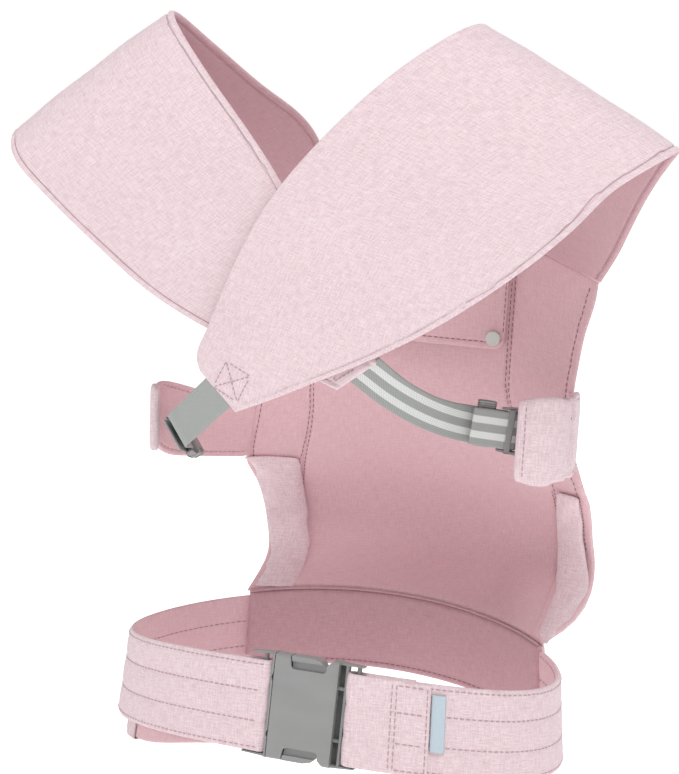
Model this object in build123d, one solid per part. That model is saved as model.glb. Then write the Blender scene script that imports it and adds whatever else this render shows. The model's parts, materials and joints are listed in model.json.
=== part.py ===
from build123d import *
import math
import os

# Soft baby carrier, worn on the front, in the shape it has when closed around a wearer.
# Units are millimetres. +Z is up, +Y is the wearer's front, +X is the wearer's right.
# Sizes are given from the body panel's plane of symmetry (x), the centre of the waist
# loop's depth (y) and the waist belt's lowest edge (z). The finished parts are moved so
# that the origin is the bottom centre of the assembly's box.

# --- waist loop: an elliptical band that rises towards the front and the back ---
LOOP_CENTRE_X = -12.0
LOOP_HALF_WIDTH = 155.0
LOOP_HALF_DEPTH = 108.0
LOOP_RISE = 15.0
LOOP_FLARE = 6.0
REST_DROP = 0.6
BELT_HEIGHT = 63.0
BELT_THICKNESS = 4.0
PAD_THICKNESS = 9.0
PAD_HALF_CHORD = 118.0
LAYER_GAP = 0.8
SEAM_GAP = 0.6
LOOP_LAYER = 2.0
LAYER_SHIFT = 3.1
TAIL_END_ANGLE = -172.0
KEEPER_ANGLE = -153.0
KEEPER_HALF_ANGLE = 3.0
KEEPER_WALL = 0.8
LOOP_OUTER_END_X = 80.0
LOOP_INNER_END_X = 72.0
TAG_END_X = 89.0
TAG_THICKNESS = 0.8

# --- body panel: height, half width, depth at the middle, depth at the edge ---
PANEL_STATIONS = [
    (80.0, 118.0, 109.0, 80.0),
    (100.0, 129.0, 140.0, 121.0),
    (122.0, 131.0, 156.0, 129.0),
    (148.0, 128.0, 150.0, 115.0),
    (176.0, 123.0, 126.0, 84.0),
    (206.0, 120.0, 106.0, 75.0),
    (248.0, 120.0, 95.0, 76.0),
    (288.0, 124.0, 91.0, 79.0),
    (316.0, 132.0, 90.0, 81.0),
    (346.0, 72.0, 90.0, 87.0),
]
PANEL_THICKNESS = 4.0
PANEL_SEAM_X = 75.0

# --- leg cushions, padded rolls along both leg openings ---
CUSHION_BOTTOM = 82.0
CUSHION_TOP = 166.0
CUSHION_INNER_X = 99.0
CUSHION_DEPTH = 9.0
CUSHION_GAP = 1.3
FOAM_GAP = 0.4
COVER_WALL = 1.6

# --- fold-up head support, hinged on its rolled top hem ---
FLAP_HALF_WIDTH = 66.0
FLAP_TOP = 345.0
FLAP_BOTTOM = 271.0
FLAP_Y = 82.0
FLAP_THICKNESS = 4.0
HEM_RADIUS = 2.6
SNAP_X = 58.0
SNAP_Z = 279.0
SNAP_RADIUS = 5.2

# --- shoulder straps: pairs of neck-side and arm-side edge points, panel to end ---
STRAP_THICKNESS = 5.0
RIGHT_STRAP = [
    ((72, 86, 351), (133, 80, 326)),
    ((70, 62, 392), (150, 50, 347)),
    ((71, 25, 425), (165, 15, 367)),
    ((74, -20, 456), (183, -25, 390)),
    ((80, -64, 480), (203, -66, 411)),
    ((84, -92, 489), (214, -94, 419)),
    ((68, -107, 479), (206, -108, 412)),
    ((30, -109, 451), (179, -110, 393)),
    ((-12, -111, 409), (156, -112, 367)),
    ((-42, -113, 370), (122, -114, 336)),
    ((-62, -116, 328), (70, -117, 298)),
    ((-75, -119, 290), (10, -120, 265)),
    ((-81, -121, 270), (-30, -122, 249)),
    ((-76, -121, 259), (-57, -122, 240)),
]
LEFT_STRAP = [
    ((-72, 86, 351), (-133, 80, 326)),
    ((-69, 60, 396), (-150, 50, 347)),
    ((-73, 28, 424), (-165, 15, 367)),
    ((-91, -17, 447), (-186, -25, 386)),
    ((-111, -60, 473), (-217, -64, 398)),
    ((-127, -86, 491), (-239, -88, 406)),
    ((-117, -99, 480), (-234, -101, 390)),
    ((-92, -101, 449), (-207, -102, 365)),
    ((-62, -102, 415), (-170, -103, 337)),
    ((-36, -104, 383), (-126, -105, 307)),
    ((-13, -106, 347), (-80, -107, 286)),
    ((8, -108, 312), (-40, -108, 274)),
    ((26, -109, 283), (-4, -109, 263)),
    ((33, -109, 272), (14, -109, 257)),
]

# --- side wings: plan x, plan y, lower edge, upper edge ---
WING_THICKNESS = 5.0
RIGHT_WING = [
    (126, 70, 192, 240), (138, 42, 192, 245), (147, 12, 191, 248), (150, -6, 191, 249),
]
LEFT_WING = [
    (-126, 70, 174, 214), (-141, 42, 176, 223), (-155, 12, 179, 232), (-161, -12, 181, 237),
]
RIGHT_COVER = [
    (151, -13, 190, 249), (143, -26, 189, 250), (127, -34, 188, 250), (110, -37, 190, 248),
]
LEFT_COVER = [
    (-162, -18, 182, 236), (-160, -28, 183, 237), (-154, -36, 185, 236),
]
COVER_THICKNESS = 11.0
LEFT_COVER_THICKNESS = 8.0

# --- webbing ---
WEBBING_WIDTH = 25.0
WEBBING_THICKNESS = 1.6
WEBBING_OUT = 2.3
WEBBING_SPREAD = 0.04
WEBBING_STRAIGHT = 22.0
TAIL_LAP = 4.5
RING_LENGTH = 12.0
RING_WALL = 0.75
RING_DEPTH = 2.4
RING_OVERHANG = 3.6

# --- side-release buckles ---
RUNNING_CLEARANCE = 0.08
MOVING_CLEARANCE = 0.5
PRESS_ANGLE = 7.5


class Buckle:
    """Sizes of one side-release buckle, in its own frame: the mouth of the socket is the
    plane x = 0, the plug leaves it along +x, z runs across the webbing, y is thickness.

    ladder and frame are the lengths of the socket's and the plug's ears, and socket_bar
    and plug_bar are how far the bars that carry the webbing are from the body and mouth."""

    def __init__(self, webbing, height, thickness, body, wall, shoulder,
                 ladder, socket_bar, frame, plug_bar):
        self.webbing = webbing
        self.height = height
        self.thickness = thickness
        self.body = body
        self.wall = wall
        self.shoulder = shoulder
        self.ladder = ladder
        self.socket_bar = socket_bar
        self.frame = frame
        self.bar_x = plug_bar
        self.half = height / 2
        self.ear_z = webbing / 2 + 0.5
        self.inner_height = height - 2 * wall
        self.inner_thickness = thickness - 2 * wall
        self.bar = 3.0 if webbing > 40 else 2.2
        self.pivot_x = -0.05 * body
        self.pivot_z = 0.27 * height
        self.pivot_radius = 0.04 * height + 0.8
        self.root_x = self.pivot_x - self.pivot_radius - 0.6
        self.window_from = -0.81 * body
        self.window_to = -0.26 * body
        self.window_z = 0.374 * height
        self.press_travel = -self.window_from * math.sin(math.radians(PRESS_ANGLE))


WAIST = Buckle(webbing=64.6, height=69.0, thickness=13.0, body=43.0, wall=2.2, shoulder=1.2,
               ladder=16.0, socket_bar=12.4, frame=18.0, plug_bar=7.8)
SIDE = Buckle(webbing=26.0, height=33.0, thickness=9.0, body=20.0, wall=1.4, shoulder=2.4,
              ladder=7.0, socket_bar=3.5, frame=19.0, plug_bar=9.5)
RIB_FROM = 4.2
RIB_TO = 5.8
RIGHT_FOLD_GAP = 1.4
LEFT_FOLD_GAP = 1.2
BRIDGE_Z = 17.0

WAIST_MOUTH = (-20.0, -106.9, 45.8)
RIGHT_MOUTH = (114.0, -20.0, 229.0)
LEFT_MOUTH = (-127.0, -35.0, 203.0)
WAIST_LEAN = LOOP_FLARE / BELT_HEIGHT
WAIST_PLANE = Plane(origin=WAIST_MOUTH, x_dir=(-1, -0.066, 0.02), z_dir=(0.0137, WAIST_LEAN, 1))
RIGHT_PLANE = Plane(origin=RIGHT_MOUTH, x_dir=(-0.912, -0.40, 0.0912), z_dir=(0.0996, 0, 0.995))
LEFT_PLANE = Plane(origin=LEFT_MOUTH, x_dir=(0.24, -0.955, 0.173), z_dir=(-0.584, 0, 0.811))


# ---------------------------------------------------------------- shape helpers

def block(x0, x1, y0, y1, z0, z1):
    """A box between two opposite corners."""
    return Pos((x0 + x1) / 2, (y0 + y1) / 2, (z0 + z1) / 2) * Box(x1 - x0, y1 - y0, z1 - z0)


def rod(radius, length, x, z):
    """A cylinder along y, centred on y = 0."""
    return Pos(x, 0, z) * Rot(90, 0, 0) * Cylinder(radius, length)


def plate(outline, thickness):
    """A flat plate in the x-z plane, centred on y = 0, from a closed outline of (x, z)."""
    face = make_face(Polyline(*[(x, 0, z) for x, z in outline], close=True))
    return extrude(face, amount=thickness / 2, dir=(0, 1, 0), both=True)


def loft_polygons(polygons):
    """A solid lofted smoothly through closed polygons with the same number of corners."""
    return Solid.make_loft([Wire.make_polygon([Vector(*p) for p in ring]) for ring in polygons])


def flat_faced(rings):
    """A closed solid of flat triangles through rings of four corners."""
    def facet(a, b, c):
        return Face(Wire.make_polygon([Vector(*a), Vector(*b), Vector(*c)]))

    faces = []
    for low, high in zip(rings, rings[1:]):
        for i in range(4):
            j = (i + 1) % 4
            faces.append(facet(low[i], low[j], high[j]))
            faces.append(facet(low[i], high[j], high[i]))
    for a, b, c, d in (rings[0], rings[-1]):
        faces.append(facet(a, b, c))
        faces.append(facet(a, c, d))
    solid = Solid(Shell(faces))
    return solid if solid.volume > 0 else Solid(Shell([-face for face in solid.faces()]))


def loop_point(angle, out, up):
    """A point of the waist loop: plan angle, distance out of the band's middle, 0..1 up."""
    turn = math.radians(angle)
    normal = Vector(LOOP_HALF_DEPTH * math.cos(turn), LOOP_HALF_WIDTH * math.sin(turn), 0).normalized()
    reach = out + LOOP_FLARE * (0.5 - up)
    return Vector(
        LOOP_CENTRE_X + LOOP_HALF_WIDTH * math.cos(turn) + normal.X * reach,
        LOOP_HALF_DEPTH * math.sin(turn) + normal.Y * reach,
        LOOP_RISE * math.sin(turn) ** 2 - REST_DROP + up * BELT_HEIGHT,
    )


def loop_angle(x, front):
    """The plan angle of the loop at a given x, on the front or the back side."""
    angle = math.degrees(math.acos((x - LOOP_CENTRE_X) / LOOP_HALF_WIDTH))
    return angle if front else -angle


def band(angle_from, angle_to, inside, outside, low=0.0, high=1.0):
    """A length of band around the loop, between two offsets from its middle surface."""
    steps = max(3, round(abs(angle_to - angle_from) / 14))
    rings = []
    for i in range(steps + 1):
        angle = angle_from + (angle_to - angle_from) * i / steps
        rings.append([
            loop_point(angle, inside, low), loop_point(angle, outside, low),
            loop_point(angle, outside, high), loop_point(angle, inside, high),
        ])
    return loft_polygons(rings)


def ribbon(stations, thickness):
    """A flat strap through pairs of edge points, with its thickness across the pair."""
    edges = [(Vector(*a), Vector(*b)) for a, b in stations]
    rings = []
    for i, (a, b) in enumerate(edges):
        before = edges[max(i - 1, 0)]
        after = edges[min(i + 1, len(edges) - 1)]
        along = (after[0] + after[1]) - (before[0] + before[1])
        half = (b - a).cross(along).normalized() * (thickness / 2)
        rings.append([a - half, b - half, b + half, a + half])
    return flat_faced(rings)


def upright_strip(stations, thickness):
    """A strip that stands on edge and follows a plan line of (x, y, low, high) stations."""
    return ribbon([((x, y, low), (x, y, high)) for x, y, low, high in stations], thickness)


def mix(low, high, share):
    return tuple(a + (b - a) * share for a, b in zip(low, high))


def panel_station(z):
    """Half width and depths of the body panel at height z."""
    for low, high in zip(PANEL_STATIONS, PANEL_STATIONS[1:]):
        if z <= high[0]:
            return mix(low, high, (z - low[0]) / (high[0] - low[0]))[1:]
    return PANEL_STATIONS[-1][1:]


def panel_y(x, z):
    """Depth of the body panel's middle surface."""
    half_width, middle, edge = panel_station(z)
    return middle - (middle - edge) * (x / half_width) ** 2


# ---------------------------------------------------------------- waist belt

# The belt turns around the socket's wrap bar on the right and the plug's bar on the left.
RIGHT_FOLD_X = WAIST_MOUTH[0] + WAIST.body + RIB_TO + RIGHT_FOLD_GAP
LEFT_FOLD_X = WAIST_MOUTH[0] - MOVING_CLEARANCE - WAIST.shoulder - LEFT_FOLD_GAP


def waist_pad_outer(shrink):
    start = loop_angle(PAD_HALF_CHORD - shrink, True)
    end = loop_angle(-PAD_HALF_CHORD + shrink, True)
    margin = shrink / BELT_HEIGHT
    half = PAD_THICKNESS / 2 - shrink
    return band(start, end, -half, half, margin, 1 - margin)


def waist_pad_cover():
    return waist_pad_outer(0) - waist_pad_outer(COVER_WALL)


def waist_pad_foam():
    return waist_pad_outer(COVER_WALL + FOAM_GAP)


def cut_at_rest_plane(shape):
    """The arms' lower edge is flat where the loop is lowest, at both sides."""
    reach = 2 * LOOP_HALF_WIDTH
    return shape - block(-reach, reach, -reach, reach, -10, 0)


def belt_arm_right():
    half = BELT_THICKNESS / 2
    front = loop_angle(PAD_HALF_CHORD + SEAM_GAP, True)
    back = loop_angle(RIGHT_FOLD_X + 11, False)
    return cut_at_rest_plane(band(back, front, -half, half))


def belt_loop_right():
    """The sewn end loop: two layers around the belt arm, joined around the socket's bar."""
    inner = BELT_THICKNESS / 2 + LAYER_GAP
    outer = inner + LOOP_LAYER
    turn_from = loop_angle(RIGHT_FOLD_X, False)
    turn_to = loop_angle(RIGHT_FOLD_X + LOOP_LAYER, False)
    outer_layer = band(turn_from, loop_angle(LOOP_OUTER_END_X, False), inner, outer)
    inner_layer = band(turn_from, loop_angle(LOOP_INNER_END_X, False), -outer, -inner)
    fold = band(turn_from, turn_to, -inner - 0.1, inner + 0.1)
    return outer_layer + inner_layer + fold


def belt_arm_left():
    """The adjustable end: it runs back from the pad outside, turns around the plug's bar
    and returns inside itself as the free tail."""
    half = LOOP_LAYER / 2
    turn_to = loop_angle(LEFT_FOLD_X, False)
    turn_from = loop_angle(LEFT_FOLD_X - LOOP_LAYER, False)
    pad_end = loop_angle(-PAD_HALF_CHORD - SEAM_GAP, True) - 360
    arm = band(turn_to, pad_end, LAYER_SHIFT - half, LAYER_SHIFT + half)
    tail = band(turn_to, TAIL_END_ANGLE, -LAYER_SHIFT - half, -LAYER_SHIFT + half)
    fold = band(turn_from, turn_to, -LAYER_SHIFT - 0.1, LAYER_SHIFT + 0.1)
    return cut_at_rest_plane(arm + tail + fold)


def belt_keeper():
    """A narrow elastic ring around the free tail, near its end."""
    start = KEEPER_ANGLE - KEEPER_HALF_ANGLE
    end = KEEPER_ANGLE + KEEPER_HALF_ANGLE
    gap = 0.3
    reach = LOOP_LAYER / 2 + gap
    outer = band(start, end, -LAYER_SHIFT - reach - KEEPER_WALL, -LAYER_SHIFT + reach + KEEPER_WALL,
                 -0.03, 1.03)
    hole = band(start - 1, end + 1, -LAYER_SHIFT - reach, -LAYER_SHIFT + reach, -0.012, 1.012)
    return outer - hole


def care_tag():
    """A blank folded tag sewn into the end of the belt loop."""
    start = loop_angle(LOOP_OUTER_END_X + SEAM_GAP, False)
    end = loop_angle(TAG_END_X, False)
    out = BELT_THICKNESS / 2 + LAYER_GAP
    return band(start, end, out, out + TAG_THICKNESS, 0.27, 0.86)


# ---------------------------------------------------------------- body panel

def panel_piece(spans):
    """Part of the body panel, as (height, left, right) spans from its bottom to its top."""
    wires = []
    for z, left, right in spans:
        xs = [left + (right - left) * i / 4 for i in range(5)]
        front = [Vector(x, panel_y(x, z) + PANEL_THICKNESS / 2, z) for x in xs]
        back = [Vector(x, panel_y(x, z) - PANEL_THICKNESS / 2, z) for x in reversed(xs)]
        wires.append(Wire([
            Edge.make_spline(front), Edge.make_line(front[-1], back[0]),
            Edge.make_spline(back), Edge.make_line(back[-1], front[0]),
        ]))
    return Solid.make_loft(wires, True)


def centre_panel():
    spans = []
    for z, half_width, _, _ in PANEL_STATIONS:
        reach = min(half_width, PANEL_SEAM_X)
        spans.append((z, -reach, reach))
    return panel_piece(spans)


def side_panel(side):
    """The outer strip of the body panel, which tapers out under the shoulder strap."""
    inner = PANEL_SEAM_X + SEAM_GAP
    spans = [(z, inner, half_width) for z, half_width, _, _ in PANEL_STATIONS[:-1]]
    spans.append((PANEL_STATIONS[-1][0] - 4, inner, inner + 3))
    return panel_piece([(z, *sorted((side * a, side * b))) for z, a, b in spans])


def cushion_body(side, shrink):
    """A roll that lies on the panel's inner face; every level keeps the panel's curve."""
    low = CUSHION_BOTTOM + shrink
    high = CUSHION_TOP - shrink
    levels = [low] + [z for z, _, _, _ in PANEL_STATIONS if low < z < high] + [high]
    near = PANEL_THICKNESS / 2 + CUSHION_GAP + shrink
    far = PANEL_THICKNESS / 2 + CUSHION_GAP + CUSHION_DEPTH - shrink
    rings = []
    for z in levels:
        inner = CUSHION_INNER_X + shrink
        outer = panel_station(z)[0] - shrink
        corners = []
        for x, back in ((inner, near), (outer, near), (outer, far), (inner, far)):
            corners.append((side * x, panel_y(x, z) - back, z))
        rings.append(corners)
    return flat_faced(rings)


def cushion_cover(side):
    return cushion_body(side, 0) - cushion_body(side, COVER_WALL)


def cushion_foam(side):
    return cushion_body(side, COVER_WALL + FOAM_GAP)


# ---------------------------------------------------------------- head support

def head_support():
    sheet = block(-FLAP_HALF_WIDTH, FLAP_HALF_WIDTH, FLAP_Y - FLAP_THICKNESS / 2,
                  FLAP_Y + FLAP_THICKNESS / 2, FLAP_BOTTOM, FLAP_TOP)
    corners = sheet.edges().filter_by(Axis.Y).group_by(Axis.Z)[0]
    sheet = fillet(corners, 8)
    hem = Pos(0, FLAP_Y, FLAP_TOP) * Rot(0, 90, 0) * Cylinder(HEM_RADIUS, 2 * FLAP_HALF_WIDTH)
    return sheet + hem


def snap_pair(radius, y_from, y_to):
    discs = []
    for side in (-1, 1):
        disc = Rot(90, 0, 0) * Cylinder(radius, y_to - y_from)
        disc = Pos(side * SNAP_X, (y_from + y_to) / 2, SNAP_Z) * disc
        rim = disc.edges().filter_by(GeomType.CIRCLE).group_by(Axis.Y)[0]
        discs.append(chamfer(rim, 0.4))
    return Compound(discs)


def snap_caps():
    back = FLAP_Y - FLAP_THICKNESS / 2
    return snap_pair(SNAP_RADIUS, back - 2.4, back - 0.05)


def snap_sockets():
    front = FLAP_Y + FLAP_THICKNESS / 2
    return snap_pair(SNAP_RADIUS - 1, front + 0.3, front + 1.5)


# ---------------------------------------------------------------- webbing

def side_webbing(start, plane, face, sag):
    """Webbing from a strap end, a pair of edge points, to just short of a plug's bar. It
    runs along the plug's +y or -y face."""
    half = WEBBING_WIDTH / 2
    ends = []
    for x in (SIDE.frame + WEBBING_STRAIGHT, SIDE.bar_x + TAIL_LAP + SEAM_GAP):
        y = face * (WEBBING_OUT + WEBBING_SPREAD * (x - SIDE.bar_x))
        ends.append([tuple(plane.from_local_coords(Vector(x, y, z))) for z in (half, -half)])
    steps = 4
    stations = []
    for i in range(steps + 1):
        share = i / steps
        drop = sag * 4 * share * (1 - share)
        pair = [mix(a, b, share) for a, b in zip(start, ends[0])]
        stations.append([(x, y, z - drop) for x, y, z in pair])
    stations.append(ends[1])
    return ribbon(stations, WEBBING_THICKNESS)


def plug_tail(plane, face, length):
    """The webbing's turn around the plug's bar, and the free tail on its other face."""
    half = WEBBING_WIDTH / 2
    out = face * WEBBING_OUT
    turn_x = SIDE.bar_x - SIDE.bar / 2 - 1.2
    path = [
        (SIDE.bar_x + TAIL_LAP, out), (SIDE.bar_x, out), (turn_x, 0.7 * out), (turn_x - 0.5, 0.0),
        (turn_x, -0.7 * out), (SIDE.bar_x, -out), (SIDE.frame + length, -out),
    ]
    return plane * ribbon([((x, y, -half), (x, y, half)) for x, y in path], WEBBING_THICKNESS)


def webbing_ring(plane, face):
    """A woven elastic ring around the webbing, which slides along it and stands above it."""
    half = WEBBING_WIDTH / 2 + 0.4
    x_from = SIDE.frame + 4
    x_to = x_from + RING_LENGTH
    middle = face * (WEBBING_OUT + WEBBING_SPREAD * ((x_from + x_to) / 2 - SIDE.bar_x))
    depth = RING_DEPTH / 2
    outer = block(x_from, x_to, middle - depth - RING_WALL, middle + depth + RING_WALL,
                  -half - RING_WALL, half + RING_OVERHANG + RING_WALL)
    hole = block(x_from - 1, x_to + 1, middle - depth, middle + depth, -half, half + RING_OVERHANG)
    return plane * (outer - hole)


# ---------------------------------------------------------------- buckles

def crossbar(b, x):
    """A round bar across the webbing."""
    return Pos(x, 0, 0) * Cylinder(b.bar / 2, b.webbing + 2)


def ear(b, x_root, x_tip, side):
    """A side arm that carries a crossbar and tapers towards its tip."""
    low = b.ear_z
    tip = low + 0.35 * (b.half - low)
    outline = [(x_root, side * low), (x_tip, side * low), (x_tip, side * tip), (x_root, side * b.half)]
    return plate(outline, b.thickness / 2)


def press_window(b, side):
    """The cutter for the notch that bares a press pad: deep, with a slanted entry."""
    slant = 0.02 * b.height
    chamfer_depth = 0.055 * b.height
    over = 1.0
    outline = [
        (b.window_to + slant, b.half + over), (b.window_to, b.window_z), (b.window_from, b.window_z),
        (b.window_from, b.half - chamfer_depth), (b.window_from - chamfer_depth - over, b.half + over),
    ]
    cutter = plate([(x, side * z) for x, z in outline], 2 * b.thickness)
    inner_corners = cutter.edges().filter_by(Axis.Y).group_by(Axis.Z)[0 if side > 0 else -1]
    return fillet(inner_corners, 0.04 * b.height)


def socket_shell(b):
    """The female half: a flat sleeve with a notch above and below for the press pads, and
    behind it two ears with a bar for the webbing."""
    outer = block(-b.body, 0, -b.thickness / 2, b.thickness / 2, -b.half, b.half)
    outer = fillet(outer.edges().filter_by(Axis.X), min(2.4, b.thickness / 4))
    cavity = block(-b.body + b.wall, 1, -b.inner_thickness / 2, b.inner_thickness / 2,
                   -b.inner_height / 2, b.inner_height / 2)
    shell = outer - cavity
    for side in (-1, 1):
        shell -= press_window(b, side)
        shell += ear(b, -b.body + 1, -b.body - b.ladder, side)
    return shell + crossbar(b, -b.body - b.socket_bar)


def slotted_socket(b):
    """The waist socket has a flat rib in front of its wrap bar, tied by two bridges."""
    depth = b.thickness / 4
    reach = b.ear_z + 0.5
    shell = socket_shell(b)
    shell += block(-b.body - RIB_TO, -b.body - RIB_FROM, -depth, depth, -reach, reach)
    for side in (-1, 1):
        z = side * BRIDGE_Z
        shell += block(-b.body - RIB_FROM - 0.5, -b.body + 0.5, -0.6 * depth, 0.6 * depth, z - 1, z + 1)
    return shell


def plug_frame(b):
    """The male half without its prongs: shoulder, ears, bar, root block and tongue."""
    gap = MOVING_CLEARANCE
    body = block(gap, gap + b.shoulder, -b.thickness / 2, b.thickness / 2, -b.half, b.half)
    body = fillet(body.edges().filter_by(Axis.X), min(2.0, b.thickness / 4))
    for side in (-1, 1):
        body += ear(b, gap, b.frame, side)
    body += crossbar(b, b.bar_x)
    root_z = b.pivot_z + b.pivot_radius + 1.0
    root_y = b.inner_thickness / 2 - gap
    body += block(b.root_x, gap + 1, -root_y, root_y, -root_z, root_z)
    tongue_z = 0.09 * b.height
    body += block(b.window_from, 0, -b.inner_thickness / 4, b.inner_thickness / 4, -tongue_z, tongue_z)
    throat = 0.8 * b.pivot_radius + 0.8
    for side in (-1, 1):
        body -= rod(b.pivot_radius + RUNNING_CLEARANCE, b.thickness, b.pivot_x, side * b.pivot_z)
        turn = Pos(b.pivot_x, 0, side * b.pivot_z)
        body -= turn * block(-3 * b.pivot_radius, 0, -b.thickness / 2, b.thickness / 2, -throat, throat)
    return body


def prong(b, side):
    """One spring arm: a round root in the plug, a leg, and a press pad with a thick lug."""
    thick = b.inner_thickness - 2 * MOVING_CLEARANCE
    arm = 0.8 * b.pivot_radius
    tip = b.window_from + 0.9
    start = b.window_to - 0.5
    top = b.half - 0.2
    nose = 0.13 * b.height
    drop = 0.07 * b.height
    root = rod(b.pivot_radius, thick, b.pivot_x, side * b.pivot_z)
    leg_z = sorted((side * (b.pivot_z - arm), side * (b.pivot_z + arm)))
    leg = block(tip, b.pivot_x, -thick / 2, thick / 2, *leg_z)
    outline = [
        (start, b.pivot_z), (start, b.window_z), (start + 0.015 * b.height, top), (tip + nose, top),
        (tip + 0.38 * nose, top - 0.3 * drop), (tip, top - drop), (tip, b.pivot_z),
    ]
    outline = [(x, side * z) for x, z in outline]
    lug_z = sorted((side * (b.window_z + b.press_travel + 0.6), side * (b.half + 1)))
    lug = plate(outline, 0.9 * b.thickness) & block(-b.body, 0, -b.thickness, b.thickness, *lug_z)
    return root + leg + plate(outline, thick) + lug


# ---------------------------------------------------------------- the assembly

PLUG_TAIL_LEFT = 14.0
PLUG_TAIL_RIGHT = 19.0
RIGHT_WEBBING_START = ((36, -101, 278), (17, -103, 262))
LEFT_WEBBING_START = ((-75, -116, 257), (-58, -116, 239))

PARTS = {
    "waist_pad_cover": waist_pad_cover(),
    "waist_pad_foam": waist_pad_foam(),
    "waist_belt_arm_right": belt_arm_right(),
    "waist_belt_loop_right": belt_loop_right(),
    "waist_belt_arm_left": belt_arm_left(),
    "waist_belt_keeper": belt_keeper(),
    "care_tag": care_tag(),
    "body_panel_centre": centre_panel(),
    "body_panel_side_left": side_panel(-1),
    "body_panel_side_right": side_panel(1),
    "leg_cushion_cover_left": cushion_cover(-1),
    "leg_cushion_cover_right": cushion_cover(1),
    "leg_cushion_foam_left": cushion_foam(-1),
    "leg_cushion_foam_right": cushion_foam(1),
    "head_support": head_support(),
    "head_support_snap_caps": snap_caps(),
    "head_support_snap_sockets": snap_sockets(),
    "shoulder_strap_left": ribbon(LEFT_STRAP, STRAP_THICKNESS),
    "shoulder_strap_right": ribbon(RIGHT_STRAP, STRAP_THICKNESS),
    "wing_left": upright_strip(LEFT_WING, WING_THICKNESS),
    "wing_right": upright_strip(RIGHT_WING, WING_THICKNESS),
    "buckle_cover_left": upright_strip(LEFT_COVER, LEFT_COVER_THICKNESS),
    "buckle_cover_right": upright_strip(RIGHT_COVER, COVER_THICKNESS),
    "side_webbing_left": side_webbing(LEFT_WEBBING_START, LEFT_PLANE, 1, 0.0),
    "side_webbing_right": side_webbing(RIGHT_WEBBING_START, RIGHT_PLANE, -1, 6.0),
    "side_webbing_tail_left": plug_tail(LEFT_PLANE, 1, PLUG_TAIL_LEFT),
    "side_webbing_tail_right": plug_tail(RIGHT_PLANE, -1, PLUG_TAIL_RIGHT),
    "side_webbing_ring_right": webbing_ring(RIGHT_PLANE, -1),
    "waist_buckle_socket": WAIST_PLANE * slotted_socket(WAIST),
    "side_left_buckle_socket": LEFT_PLANE * socket_shell(SIDE),
    "side_right_buckle_socket": RIGHT_PLANE * socket_shell(SIDE),
}
BUCKLES = {
    "waist": (WAIST, WAIST_PLANE),
    "side_left": (SIDE, LEFT_PLANE),
    "side_right": (SIDE, RIGHT_PLANE),
}
for place, (sizes, plane) in BUCKLES.items():
    PARTS[f"{place}_buckle_plug"] = plane * plug_frame(sizes)
    PARTS[f"{place}_prong_upper"] = plane * prong(sizes, 1)
    PARTS[f"{place}_prong_lower"] = plane * prong(sizes, -1)

whole = Compound(list(PARTS.values())).bounding_box()
ORIGIN_X = (whole.min.X + whole.max.X) / 2
ORIGIN_Y = (whole.min.Y + whole.max.Y) / 2

os.makedirs("parts", exist_ok=True)
for name, shape in PARTS.items():
    export_step(Pos(-ORIGIN_X, -ORIGIN_Y, 0) * shape, f"parts/{name}.step")
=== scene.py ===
import bisect
import json
import math

import bmesh
import bpy
from mathutils import Matrix, Vector, noise
from mathutils.bvhtree import BVHTree

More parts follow.
